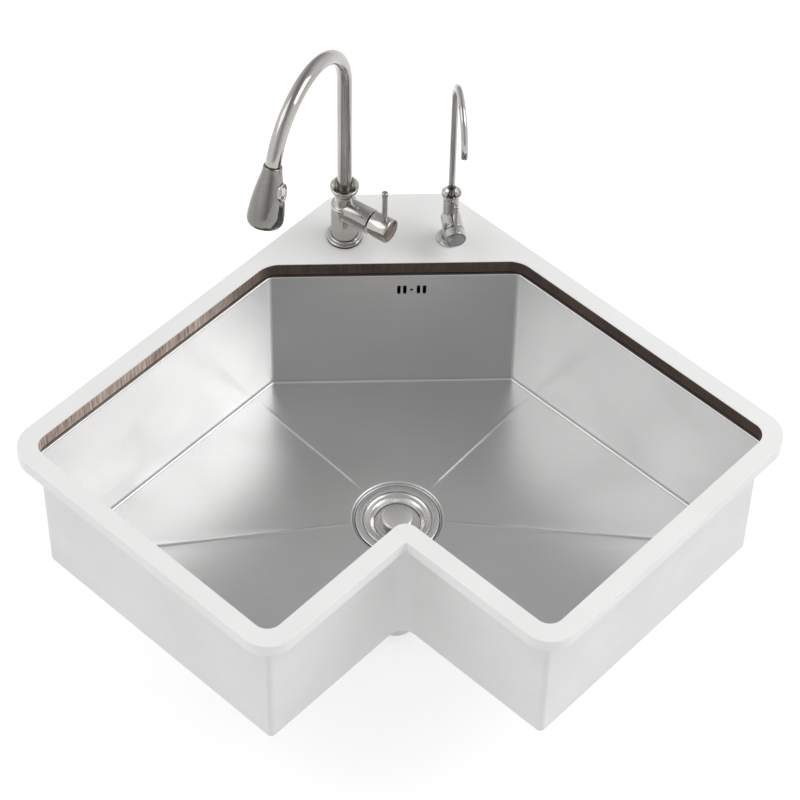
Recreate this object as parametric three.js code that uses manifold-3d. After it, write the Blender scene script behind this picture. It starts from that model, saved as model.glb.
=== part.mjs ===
// Corner kitchen sink: a V-shaped steel bowl hung under a close-cut piece of worktop, with its
// waste kit, a pull-down mixer tap and a small drinking-water tap.
// Millimetres, +Z up, +Y towards the corner of the walls. The origin lies on the underside of
// the worktop, on the centreline, behind the bowl.
import * as THREE from 'three';
import { mergeVertices } from 'three/addons/utils/BufferGeometryUtils.js';
import Module from 'manifold-3d';

const wasm = await Module();
wasm.setup();

// ---------------------------------------------------------------- driving dimensions
const GAP = 0.3;                       // play between touching pieces

const opening = {                      // cut-out in the worktop, a square corner with two arms
  apexY: 75,                           // where the two long sides would meet
  arm: 680,                            // length of each long side from that point
  width: 431,                          // width of each arm
  chamfer: 245,                        // length cut off each long side at the back
  endRadius: 20,
  backRadius: 36,
  notchRadius: 20,
};
const worktop = {
  thickness: 20,
  laminate: 1,
  margin: 25,                          // board left round the opening
  ledgeBackY: 30,                      // back edge of the ledge that carries the taps
  outerRadius: 40,
  notchOuterRadius: 6,
  lip: 0.7,                            // laminate stops this far short of the opening's edge
  seat: { depth: 2, mixerRadius: 31, filterRadius: 15 },   // routed out below, round each tap hole
};
const bowl = {
  reveal: 4.5,                         // wall inside the edge of the opening
  sheet: 1.5,
  flangeTop: -2,
  flangeWidth: 22,
  floor: -226.5,
  wallBend: 6,                         // upright corners, inner radius
  floorBend: 4,
  rimBend: 2,
  fall: 4,                             // the floor falls this much to the drain
  screwLine: 16,                       // rim screws stand this far outside the wall
};
const drain = { x: 0, y: -346, rim: 63.5, recess: 58, hole: 50, step: 4 };
const creases = {                      // lines pressed up in the floor, from the drain outwards
  corners: [2, 3, 5, 6],               // these run into corners of the bowl
  fading: [[-202, -127], [202, -127]], // and these fade out on the way to these points
  height: 0.9,
  halfWidth: 5,                        // at their far end
  start: 80,
  stop: 12,                            // short of the wall
  fade: 40,
};
const overflow = {
  x: 24.6, z: -30, slotWidth: 5, slotHeight: 17.5,
  slotOffsets: [-17.7, -9.5, 9.5, 17.7], holeRadius: 2.3,
};
const mixer = {
  x: -67, y: -46.5,
  bodyRadius: 19, neckRadius: 13.5, shoulder: 67, neckTop: 85, collarTop: 103,
  tubeRadius: 10, tubeBore: 8, tubeStart: 73, tubeBend: 297,
  bendRadius: 102.5, bendAngle: 162, spoutAzimuth: -118,
  armAzimuth: -36, armRadius: 18, armHeight: 57, armEnd: 45.5,
  hubStart: 47.3, hubEnd: 76.5, pinAt: 66, pinRadius: 3.6, pinTop: 128,
  headLength: 85, headTopRadius: 11.6, headRadius: 24,
};
const filter = {
  x: 78, y: -53,
  bodyRadius: 11, collarRadius: 13.8, collarTop: 92, tubeRadius: 4.6, tubeBore: 2.6, tubeStart: 66.4,
  tubeBend: 271, bendRadius: 52, bendAngle: 177, tipLength: 6, spoutAzimuth: -86,
  armAzimuth: -83, armRadius: 14, armHeight: 45, armEnd: 30, hubStart: 31.4, hubEnd: 45,
  pinAt: 37, pinRadius: 2.1, pinTop: 106,
};

const FACETS = { large: 20, medium: 16, small: 12, tiny: 8 };   // sides of round pieces
const CORNER_STEPS = 4;                // facets in each rounded corner of the V

const UP = new THREE.Vector3(0, 0, 1);
const RIGHT_ANGLE = Math.PI / 2;
const rad = THREE.MathUtils.degToRad;

// ---------------------------------------------------------------- materials
const finish = (color, roughness, metalness) =>
  new THREE.MeshStandardMaterial({ color, roughness, metalness });

const brushedSteel = () => finish(0xb9babb, 0.32, 1);
const polishedSteel = () => finish(0xa9a7a4, 0.18, 1);
const whiteLaminate = () => finish(0xf2f1ee, 0.45, 0);
const brownBoard = () => finish(0x4a352b, 0.7, 0);
const blackRubber = () => finish(0x1d1d1e, 0.8, 0);
const paleCoat = () => finish(0xe4e4e2, 0.85, 0);
const whitePlastic = () => finish(0xededea, 0.4, 0);
const darkPlastic = () => finish(0x2a2b2c, 0.5, 0);
const brass = () => finish(0xb08d4a, 0.35, 1);

// ---------------------------------------------------------------- solids
/** A closed mesh whose faces point outwards, from shared points and triangles. */
function closedGeometry(points, triangles) {
  let volume = 0;
  for (const [a, b, c] of triangles) {
    volume += points[a].dot(points[b].clone().cross(points[c]));
  }
  const order = volume < 0 ? triangles.map(([a, b, c]) => [a, c, b]) : triangles;
  const geometry = new THREE.BufferGeometry();
  geometry.setAttribute('position', new THREE.Float32BufferAttribute(points.flatMap(p => p.toArray()), 3));
  geometry.setIndex(order.flat());
  return geometry;
}

function toSolid(geometry) {
  const bare = geometry.clone();
  bare.deleteAttribute('normal');
  bare.deleteAttribute('uv');
  const merged = mergeVertices(bare, 1e-4);
  return new wasm.Manifold(new wasm.Mesh({
    numProp: 3,
    vertProperties: new Float32Array(merged.attributes.position.array),
    triVerts: new Uint32Array(merged.index.array),
  }));
}

function toGeometry(solid) {
  const { vertProperties, triVerts } = solid.getMesh();
  const geometry = new THREE.BufferGeometry();
  geometry.setAttribute('position', new THREE.BufferAttribute(new Float32Array(vertProperties), 3));
  geometry.setIndex(new THREE.BufferAttribute(new Uint32Array(triVerts), 1));
  return geometry;
}

function cut(geometry, ...tools) {
  return toGeometry(tools.reduce((solid, tool) => solid.subtract(toSolid(tool)), toSolid(geometry)));
}

function join(geometry, ...others) {
  return toGeometry(others.reduce((solid, other) => solid.add(toSolid(other)), toSolid(geometry)));
}

/** Revolves closed [radius, height] points about Z. */
function revolve(profile, segments = FACETS.large) {
  const points = [...profile, profile[0]].map(([r, z]) => new THREE.Vector2(r, z));
  return orient(new THREE.LatheGeometry(points, segments).rotateX(RIGHT_ANGLE));
}

/** Revolves a profile that starts and ends on the axis. */
function revolveSolid(profile, segments = FACETS.large) {
  const points = profile.map(([r, z]) => new THREE.Vector2(r, z));
  return orient(new THREE.LatheGeometry(points, segments).rotateX(RIGHT_ANGLE));
}

/** Merges a revolved skin and turns it outwards. */
function orient(geometry) {
  geometry.deleteAttribute('normal');
  geometry.deleteAttribute('uv');
  const merged = mergeVertices(geometry, 1e-4);
  const at = merged.attributes.position;
  const points = [];
  for (let i = 0; i < at.count; i++) points.push(new THREE.Vector3().fromBufferAttribute(at, i));
  const triangles = [];
  for (let i = 0; i < merged.index.count; i += 3) {
    const t = [merged.index.getX(i), merged.index.getX(i + 1), merged.index.getX(i + 2)];
    if (new Set(t).size === 3) triangles.push(t);
  }
  return closedGeometry(points, triangles);
}

const rod = (radius, from, to, segments = FACETS.medium) =>
  new THREE.CylinderGeometry(radius, radius, to - from, segments)
    .rotateX(RIGHT_ANGLE).translate(0, 0, (from + to) / 2);

const block = (x, y, z, cx = 0, cy = 0, cz = 0) => new THREE.BoxGeometry(x, y, z).translate(cx, cy, cz);

function prism(outline, from, to, holes = []) {
  const shape = new THREE.Shape(outline);
  holes.forEach(hole => shape.holes.push(new THREE.Path(hole)));
  return new THREE.ExtrudeGeometry(shape, { depth: to - from, bevelEnabled: false }).translate(0, 0, from);
}

function circle(radius, x = 0, y = 0, count = FACETS.medium) {
  return Array.from({ length: count }, (_, i) => {
    const a = (2 * Math.PI * i) / count;
    return new THREE.Vector2(x + radius * Math.cos(a), y + radius * Math.sin(a));
  });
}

/** A ring nut's outline, with shallow scallops that fingers grip. */
function scallops(radius, depth, lobes) {
  const perLobe = 4;
  return Array.from({ length: lobes * perLobe }, (_, i) => {
    const r = radius - depth * (0.5 - 0.5 * Math.cos((2 * Math.PI * i) / perLobe));
    const a = (2 * Math.PI * i) / (lobes * perLobe);
    return new THREE.Vector2(r * Math.cos(a), r * Math.sin(a));
  });
}

const hexagon = radius => circle(radius, 0, 0, 6);

// ---------------------------------------------------------------- the V outline and sweeps along it
/** The seven corners of the V, moved inwards by inset, clockwise from the back left. */
function corners(inset, ledgeY = null) {
  const s = Math.SQRT1_2;
  const right = new THREE.Vector2(s, -s);
  const left = new THREE.Vector2(-s, -s);
  const apex = new THREE.Vector2(0, opening.apexY - inset * Math.SQRT2);
  const arm = opening.arm - 2 * inset;
  const width = opening.width - 2 * inset;
  const chamfer = ledgeY === null
    ? opening.chamfer - inset * (2 - Math.SQRT2)
    : (apex.y - ledgeY) * Math.SQRT2;
  const go = (...steps) => steps.reduce((p, [dir, d]) => p.addScaledVector(dir, d), apex.clone());
  return [
    go([left, chamfer]), go([right, chamfer]), go([right, arm]), go([right, arm], [left, width]),
    go([right, width], [left, width]), go([left, arm], [right, width]), go([left, arm]),
  ];
}

/** Rounds a clockwise outline. Each station holds a point and the outward normal there. */
function stations(points, radii, steps = CORNER_STEPS) {
  const count = points.length;
  const out = [];
  points.forEach((corner, i) => {
    const inDir = corner.clone().sub(points[(i + count - 1) % count]).normalize();
    const outDir = points[(i + 1) % count].clone().sub(corner).normalize();
    const turn = Math.atan2(inDir.cross(outDir), inDir.dot(outDir));
    const radius = radii[i];
    const start = corner.clone().addScaledVector(inDir, -radius * Math.tan(Math.abs(turn) / 2));
    const normal = new THREE.Vector2(-inDir.y, inDir.x);
    const side = Math.sign(-turn);
    const centre = start.clone().addScaledVector(normal, -side * radius);
    for (let k = 0; k <= steps; k++) {
      const n = normal.clone().rotateAround(new THREE.Vector2(), (turn * k) / steps);
      out.push({ corner: i, point: centre.clone().addScaledVector(n, side * radius), normal: n });
    }
  });
  return out;
}

const outline = list => list.map(station => station.point);

/** Sweeps a closed [outward, height] profile along stations, mitred at each of them. */
function sweep(path, profile, closed = false) {
  const points = path.flatMap(({ point, normal }) => profile.map(([n, z]) =>
    new THREE.Vector3(point.x + normal.x * n, point.y + normal.y * n, z)));
  const size = profile.length;
  const triangles = [];
  const spans = closed ? path.length : path.length - 1;
  for (let s = 0; s < spans; s++) {
    const a = s * size;
    const b = ((s + 1) % path.length) * size;
    for (let k = 0; k < size; k++) {
      const next = (k + 1) % size;
      triangles.push([a + k, b + k, b + next], [a + k, b + next, a + next]);
    }
  }
  if (!closed) {
    const section = profile.map(([n, z]) => new THREE.Vector2(n, z));
    const forward = THREE.ShapeUtils.area(section) > 0;
    const last = (path.length - 1) * size;
    for (const [a, b, c] of THREE.ShapeUtils.triangulateShape(section, [])) {
      const [first, second] = forward ? [c, b] : [b, c];
      triangles.push([a, second, first], [last + a, last + first, last + second]);
    }
  }
  return closedGeometry(points, triangles);
}

/** A quarter bend of a sheet profile, from angle to angle in degrees. */
function bend(n, z, radius, from, to, steps = 4) {
  return Array.from({ length: steps + 1 }, (_, k) => {
    const a = rad(from + ((to - from) * k) / steps);
    return [n + radius * Math.cos(a), z + radius * Math.sin(a)];
  });
}

/** A straight run, a round bend and a straight tail, in one plane. Only the bend is stepped finely. */
class BentPath extends THREE.Curve {
  constructor({ start, direction, side, run, radius, angle, tail = 0, bendSteps = 12 }) {
    super();
    Object.assign(this, { start, direction, side, run, radius, angle, tail, bendSteps });
    this.steps = 1 + bendSteps + (tail > 0 ? 1 : 0);
  }

  /** The curve's own parameter already gives the stations, so it isn't spread by arc length. */
  getUtoTmapping(u) {
    return u;
  }

  getPoint(t, target = new THREE.Vector3()) {
    const station = t * this.steps;
    target.copy(this.start);
    if (station <= 1) return target.addScaledVector(this.direction, this.run * station);
    const turned = this.angle * Math.min((station - 1) / this.bendSteps, 1);
    target.addScaledVector(this.direction, this.run + this.radius * Math.sin(turned));
    target.addScaledVector(this.side, this.radius * (1 - Math.cos(turned)));
    const past = this.tail * Math.max(0, station - 1 - this.bendSteps);
    target.addScaledVector(this.direction, past * Math.cos(this.angle));
    return target.addScaledVector(this.side, past * Math.sin(this.angle));
  }
}

/** A pipe along a bent path; its bore is open at both ends. */
function pipe(path, radius, bore, sides) {
  const shape = new THREE.Shape(circle(radius, 0, 0, sides));
  shape.holes.push(new THREE.Path(circle(bore, 0, 0, sides)));
  return new THREE.ExtrudeGeometry(shape, { steps: path.steps, bevelEnabled: false, extrudePath: path });
}

// ---------------------------------------------------------------- scene graph
const sink = new THREE.Group();

function place(parent, name, geometry, material) {
  const mesh = new THREE.Mesh(geometry, material);
  mesh.name = name;
  parent.add(mesh);
  return mesh;
}

function groupAt(parent, x, y, z) {
  const group = new THREE.Group();
  group.position.set(x, y, z);
  parent.add(group);
  return group;
}

const heading = azimuth => new THREE.Vector3(Math.cos(rad(azimuth)), Math.sin(rad(azimuth)), 0);

/** A group whose +X runs along a level azimuth, for the side arms. */
function armGroup(parent, azimuth, height) {
  const group = groupAt(parent, 0, 0, height);
  group.rotation.z = rad(azimuth);
  return group;
}

/** Lays a shape made along Z down along +X. */
const alongX = geometry => geometry.rotateY(RIGHT_ANGLE);

// ---------------------------------------------------------------- worktop and its seal
const cutRadii = [
  opening.backRadius, opening.backRadius, opening.endRadius, opening.endRadius,
  opening.notchRadius, opening.endRadius, opening.endRadius,
];
const outerRadii = [
  worktop.outerRadius, worktop.outerRadius, worktop.outerRadius, worktop.outerRadius,
  worktop.notchOuterRadius, worktop.outerRadius, worktop.outerRadius,
];
const wallRadii = [
  bowl.wallBend, bowl.wallBend, bowl.wallBend, bowl.wallBend,
  opening.notchRadius + bowl.reveal, bowl.wallBend, bowl.wallBend,
];

/** The board's outer edge, moved outwards by a skin's thickness. */
function boardEdge(skin) {
  const radii = outerRadii.map((r, i) => (i === 4 ? Math.max(r - skin, 1) : r + skin));
  return outline(stations(corners(-worktop.margin - skin, worktop.ledgeBackY + skin), radii));
}

const screwSpots = rimScrewSpots();

function rimScrewSpots() {
  const line = corners(bowl.reveal - bowl.screwLine);
  const between = (a, b, t) => line[a].clone().lerp(line[b], t);
  return [between(0, 6, 0.28), between(0, 6, 0.78), between(1, 2, 0.28), between(1, 2, 0.78),
    between(6, 5, 0.5), between(2, 3, 0.5)];
}

function buildWorktop() {
  const top = worktop.thickness;
  const coreTop = top - worktop.laminate - GAP;
  const hole = skin =>
    prism(outline(stations(corners(-skin), cutRadii.map(r => r + skin))), -1, top + 1);
  const tapHoles = [
    rod(17.5, -1, top + 1).translate(mixer.x, mixer.y, 0),
    rod(7, -1, top + 1, FACETS.small).translate(filter.x, filter.y, 0),
  ];
  const pilotHoles = screwSpots.map(spot => rod(2.6, -1, 12, FACETS.tiny).translate(spot.x, spot.y, 0));
  const { depth, mixerRadius, filterRadius } = worktop.seat;
  const washerSeats = [
    rod(mixerRadius, -1, depth, FACETS.large).translate(mixer.x, mixer.y, 0),
    rod(filterRadius, -1, depth).translate(filter.x, filter.y, 0),
  ];
  place(sink, 'worktop_core', cut(prism(boardEdge(0), 0, coreTop), hole(0), ...tapHoles,
    ...washerSeats, ...pilotHoles), brownBoard());

  const skin = 1.5;
  place(sink, 'worktop_laminate', cut(prism(boardEdge(skin), 0, top), hole(worktop.lip), ...tapHoles,
    prism(boardEdge(GAP), -1, top - worktop.laminate)), whiteLaminate());

  const beadTop = -GAP;
  const beadBottom = bowl.flangeTop + GAP;
  const bead = [[2, beadTop], [8, beadTop], [8, beadBottom], [2, beadBottom]];
  place(sink, 'silicone_seal', sweep(stations(corners(0), cutRadii), bead, true), blackRubber());
}

// ---------------------------------------------------------------- the bowl
const wallPath = stations(corners(bowl.reveal), wallRadii);

/** Cross-section of a wall: rim flange, rolled rim, wall and the bend into the floor. */
function wallProfile() {
  const { sheet, flangeTop, flangeWidth, floor, floorBend, rimBend } = bowl;
  return [
    [flangeWidth, flangeTop],
    ...bend(rimBend, flangeTop - rimBend, rimBend, 90, 180, 2),
    ...bend(-floorBend, floor + floorBend, floorBend, 0, -90, 3),
    ...bend(-floorBend, floor + floorBend, floorBend + sheet, -90, 0, 3),
    [sheet, flangeTop - sheet - 1],
    [sheet + 1, flangeTop - sheet],
    [flangeWidth, flangeTop - sheet],
  ];
}

/**
 * Stations from one corner to another, each given with how far round its bend the run goes.
 * The ends stop half a gap short of the weld seam.
 */
function wallRun([firstCorner, firstShare], [lastCorner, lastShare]) {
  const station = (corner, share) => corner * (CORNER_STEPS + 1) + share * CORNER_STEPS;
  const first = station(firstCorner, firstShare);
  const count = (station(lastCorner, lastShare) - first + wallPath.length) % wallPath.length;
  const run = Array.from({ length: count + 1 }, (_, i) => {
    const { point, normal } = wallPath[(first + i) % wallPath.length];
    return { point: point.clone(), normal };
  });
  const along = ({ normal }) => new THREE.Vector2(normal.y, -normal.x);
  run[0].point.addScaledVector(along(run[0]), GAP / 2);
  run[run.length - 1].point.addScaledVector(along(run[run.length - 1]), -GAP / 2);
  return run;
}

/** Where a ray from the drain centre at an angle meets the floor's edge. */
function floorEdge(angle, edge) {
  const dir = new THREE.Vector2(Math.cos(angle), Math.sin(angle));
  const centre = new THREE.Vector2(drain.x, drain.y);
  let best = Infinity;
  edge.forEach((a, i) => {
    const b = edge[(i + 1) % edge.length];
    const side = b.clone().sub(a);
    const toA = a.clone().sub(centre);
    const denom = dir.cross(side);
    if (Math.abs(denom) < 1e-9) return;
    const t = toA.cross(side) / denom;
    const u = toA.cross(dir) / denom;
    if (t > 0 && u >= -1e-6 && u <= 1 + 1e-6) best = Math.min(best, t);
  });
  return best;
}

const floorInset = bowl.reveal + bowl.floorBend + GAP;
const floorRadii = wallRadii.map((r, i) => (i === 4 ? r + bowl.floorBend + GAP : r - bowl.floorBend - GAP));
const floorOutline = outline(stations(corners(floorInset), floorRadii));

/** Directions of the pressed lines from the drain, with how far short of the wall each one stops. */
const creaseLines = [
  ...creases.corners.map(i => ({ to: corners(bowl.reveal + bowl.floorBend)[i], stop: creases.stop })),
  ...creases.fading.map(([x, y]) => ({ to: new THREE.Vector2(x, y), stop: creases.fade })),
].map(({ to, stop }) => {
  const reach = to.clone().sub(new THREE.Vector2(drain.x, drain.y));
  return { angle: Math.atan2(reach.y, reach.x), spread: creases.halfWidth / reach.length(), stop };
});

/** The share of a crease's height at an angle, and that crease. */
function creaseAt(angle) {
  const shares = creaseLines.map(line => {
    const off = Math.abs(Math.atan2(Math.sin(angle - line.angle), Math.cos(angle - line.angle)));
    return { share: Math.max(0, 1 - off / line.spread), stop: line.stop };
  });
  return shares.reduce((best, entry) => (entry.share > best.share ? entry : best));
}

/** Angles about the drain: the floor's edge points, the creases, and no step over maxStep. */
function floorAngles(edge, maxStep = rad(16)) {
  const ofEdge = edge.map(p => Math.atan2(p.y - drain.y, p.x - drain.x));
  const ofCreases = creaseLines.flatMap(({ angle, spread }) => [angle - spread, angle, angle + spread]);
  const apart = ofCreases.filter(a => ofEdge.every(b => Math.abs(a - b) > 1e-3));
  const own = [...ofEdge, ...apart].sort((a, b) => a - b);
  return own.flatMap((a, i) => {
    const next = i + 1 < own.length ? own[i + 1] : own[0] + 2 * Math.PI;
    const parts = Math.max(1, Math.ceil((next - a) / maxStep));
    return Array.from({ length: parts }, (_, k) => a + ((next - a) * k) / parts);
  });
}

/** Height of the pressed floor at a fraction of the way from the drain rim to the edge. */
const floorHeight = fraction => bowl.floor - bowl.fall * (1 - fraction);

function buildFloor() {
  const angles = floorAngles(floorOutline);
  const recessTop = floorHeight(0) - drain.step;
  const rings = angles.map(angle => {
    const at = (r, z) => new THREE.Vector3(drain.x + r * Math.cos(angle), drain.y + r * Math.sin(angle), z);
    const edge = floorEdge(angle, floorOutline);
    const { share, stop } = creaseAt(angle);
    const onCrease = r => [r, floorHeight((r - drain.rim) / (edge - drain.rim)) + share * creases.height];
    const top = [[drain.hole, recessTop], [drain.recess, recessTop], [drain.rim, floorHeight(0)],
      onCrease(creases.start), onCrease(edge - stop), [edge, floorHeight(1)]];
    const under = top.map(([r, z]) => [r, z - bowl.sheet]).reverse();
    return [...top, ...under].map(([r, z]) => at(r, z));
  });
  place(sink, 'bowl_floor', loopSurface(rings), brushedSteel());
}

/** Joins closed rings of points, one after another and back to the first, into one skin. */
function loopSurface(rings) {
  const size = rings[0].length;
  const triangles = [];
  rings.forEach((_, s) => {
    const a = s * size;
    const b = ((s + 1) % rings.length) * size;
    for (let k = 0; k < size; k++) {
      const next = (k + 1) % size;
      triangles.push([a + k, b + k, b + next], [a + k, b + next, a + next]);
    }
  });
  return closedGeometry(rings.flat(), triangles);
}

/** A stuck-on pad that follows the underside of the floor between two angles. */
function soundPad(from, to, inner, outer) {
  const thick = 3;
  const count = 10;
  const rings = Array.from({ length: count + 1 }, (_, i) => {
    const angle = rad(from + ((to - from) * i) / count);
    const reach = floorEdge(angle, floorOutline) - drain.rim;
    const at = (f, drop) => new THREE.Vector3(
      drain.x + (drain.rim + f * reach) * Math.cos(angle),
      drain.y + (drain.rim + f * reach) * Math.sin(angle),
      floorHeight(f) - bowl.sheet - GAP - drop,
    );
    return [at(inner, 0), at(outer, 0), at(outer, thick), at(inner, thick)];
  });
  const points = rings.flat();
  const triangles = [];
  for (let s = 0; s < count; s++) {
    for (let k = 0; k < 4; k++) {
      const [a, b, next] = [s * 4, (s + 1) * 4, (k + 1) % 4];
      triangles.push([a + k, b + k, b + next], [a + k, b + next, a + next]);
    }
  }
  const last = count * 4;
  triangles.push([0, 1, 2], [0, 2, 3], [last, last + 2, last + 1], [last, last + 3, last + 2]);
  return closedGeometry(points, triangles);
}

function buildBowl() {
  buildFloor();
  const profile = wallProfile();
  const slots = overflow.slotOffsets.map(dx => slotTool(dx));
  slots.push(rod(overflow.holeRadius, -20, 20, FACETS.tiny).rotateX(RIGHT_ANGLE)
    .translate(overflow.x, opening.apexY - opening.chamfer * Math.SQRT1_2 - bowl.reveal, overflow.z));
  const screwHoles = screwSpots.map(spot => rod(3, -10, 2, FACETS.tiny).translate(spot.x, spot.y, 0));
  const wrap = run => cut(sweep(run, profile), ...screwHoles);
  place(sink, 'bowl_back_wrap', cut(wrap(wallRun([6, 1], [2, 0])), ...slots), brushedSteel());
  place(sink, 'bowl_right_wrap', wrap(wallRun([2, 0], [4, 0.5])), brushedSteel());
  place(sink, 'bowl_left_wrap', wrap(wallRun([4, 0.5], [6, 1])), brushedSteel());
  place(sink, 'left_sound_pad', soundPad(172, 222, 0.22, 0.8), paleCoat());
  place(sink, 'right_sound_pad', soundPad(-42, 8, 0.22, 0.8), paleCoat());
}

/** One overflow slot, with half-round ends, ready to cut through the back wall. */
function slotTool(dx) {
  const r = overflow.slotWidth / 2;
  const half = overflow.slotHeight / 2 - r;
  const ends = [0, Math.PI].flatMap((start, i) => Array.from({ length: 5 }, (_, k) => {
    const a = start + (Math.PI * k) / 4;
    return new THREE.Vector2(r * Math.cos(a), (i ? -half : half) + r * Math.sin(a));
  }));
  const wallY = opening.apexY - opening.chamfer * Math.SQRT1_2 - bowl.reveal;
  return prism(ends, -10, 10).rotateX(RIGHT_ANGLE).translate(overflow.x + dx, wallY, overflow.z);
}

function buildRimScrews() {
  const head = bowl.flangeTop - bowl.sheet - GAP;
  screwSpots.forEach((spot, i) => {
    const shape = revolveSolid([
      [0, 11], [2.2, 8.6], [2.2, head], [5.8, head], [4.8, head - 4.6], [0, head - 5],
    ], FACETS.tiny);
    place(sink, `rim_screw_${i + 1}`, shape.translate(spot.x, spot.y, 0), polishedSteel());
  });
}

// ---------------------------------------------------------------- overflow and waste kit
const recessTop = floorHeight(0) - drain.step;

function buildOverflow() {
  const wallBack = opening.apexY - opening.chamfer * Math.SQRT1_2 - bowl.reveal + bowl.sheet;
  const depth = 22;
  const [halfWidth, top, bottom] = [32, 20, -22];
  const group = groupAt(sink, overflow.x, wallBack, overflow.z);
  const frame = inset => {
    const [w, hi, lo, r] = [halfWidth - inset, top - inset, bottom + inset, 8];
    return roundedRectangle(w, lo, hi, Math.max(r - inset, 2));
  };
  const sideways = geometry => geometry.rotateX(RIGHT_ANGLE);
  // Extruded shapes run along +Z; turned upright they run along -Y, so depths are negative here.
  place(group, 'overflow_gasket', sideways(prism(frame(0), -2.3, -GAP, [frame(6)])), blackRubber());
  const shell = sideways(prism(frame(0), -depth, -2.6));
  const hollow = sideways(prism(frame(3), -depth + 3, 1));
  const spigotY = 12.5;
  const spigot = rod(9, bottom - 16, bottom + 1, FACETS.small).translate(0, spigotY, 0);
  const spigotBore = rod(7, bottom - 20, bottom + 5, FACETS.small).translate(0, spigotY, 0);
  place(group, 'overflow_housing', cut(join(shell, spigot), hollow, spigotBore), whitePlastic());

  const start = new THREE.Vector3(overflow.x, wallBack + spigotY, overflow.z + bottom - 4);
  const bossZ = recessTop - 38;
  const toDrain = new THREE.Vector3(drain.x - start.x, drain.y - start.y, 0);
  const level = toDrain.length();
  toDrain.normalize();
  const radius = 34;
  const bossReach = 66;
  const drop = start.z - bossZ;
  const path = new BentPath({
    start, direction: UP.clone().negate(), side: toDrain, run: drop - radius, radius, angle: RIGHT_ANGLE,
    tail: level - radius - bossReach, bendSteps: 6,
  });
  place(sink, 'overflow_pipe', pipe(path, 11.6, 9.6, FACETS.small), whitePlastic());
  return toDrain;
}

function roundedRectangle(halfWidth, low, high, radius) {
  const centres = [[halfWidth - radius, high - radius, 0], [-halfWidth + radius, high - radius, 90],
    [-halfWidth + radius, low + radius, 180], [halfWidth - radius, low + radius, 270]];
  return centres.flatMap(([x, y, from]) => Array.from({ length: 5 }, (_, k) => {
    const a = rad(from + (90 * k) / 4);
    return new THREE.Vector2(x + radius * Math.cos(a), y + radius * Math.sin(a));
  }));
}

function buildWaste(toDrain) {
  const waste = groupAt(sink, drain.x, drain.y, recessTop);
  const under = -bowl.sheet;

  const throat = revolve([
    [57, 0.3], [56.4, 1.8], [48.8, 1.8], [48.2, 1.2], [48.2, -1.2], [41.5, -1.2], [41.5, -52], [43, -52],
    [43, -2.7], [49.4, -2.7], [49.4, 0.3],
  ]);
  const spider = prism(circle(42.5, 0, 0, FACETS.large), -52, -50.4, spiderHoles());
  place(waste, 'strainer_flange', join(throat, spider), brushedSteel());

  place(waste, 'strainer_gasket', revolve([
    [57, under - GAP], [57, under - 2.8], [50.4, under - 2.8], [50.4, under - GAP],
  ], FACETS.medium), blackRubber());

  const bodyTop = under - 3.1;
  const cup = revolve([
    [58, bodyTop], [58, bodyTop - 4], [49.5, -14], [49.5, -64], [47.5, -66], [20, -66], [20, -98], [17, -98],
    [17, -62.8], [46, -62.8], [46, -14], [50.6, bodyTop - 3], [50.6, bodyTop],
  ], FACETS.medium);
  const bossAngle = Math.atan2(-toDrain.y, -toDrain.x);
  const bossTurn = geometry => alongX(geometry).rotateZ(bossAngle).translate(0, 0, -38);
  const bridge = block(93, 10, 7, 0, 0, -59.5);
  const body = cut(join(cup, bossTurn(rod(9, 47, 78, FACETS.small)), bridge),
    bossTurn(rod(7, 40, 80, FACETS.small)), rod(3.4, -70, -50, FACETS.tiny));
  place(waste, 'strainer_body', body, whitePlastic());

  place(waste, 'strainer_screw', revolveSolid([
    [0, -46.4], [4.6, -46.8], [6, -48.4], [6, -50.1], [3, -50.1], [3, -66], [2.2, -67], [0, -67],
  ], FACETS.tiny), polishedSteel());

  buildTrap(waste);
  buildBasket(waste);
}

/** Four kidney holes and the screw's hole in the bottom of the throat. */
function spiderHoles() {
  const arms = 4;
  const holes = Array.from({ length: arms }, (_, i) => {
    const from = 90 * i + 9;
    const to = 90 * i + 81;
    const arc = (r, a, b) => Array.from({ length: 5 }, (__, k) => {
      const t = rad(a + ((b - a) * k) / 4);
      return new THREE.Vector2(r * Math.cos(t), r * Math.sin(t));
    });
    return [...arc(37, from, to), ...arc(13, to - 6, from + 6)];
  });
  return [...holes, circle(3.4, 0, 0, FACETS.tiny)];
}

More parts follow.
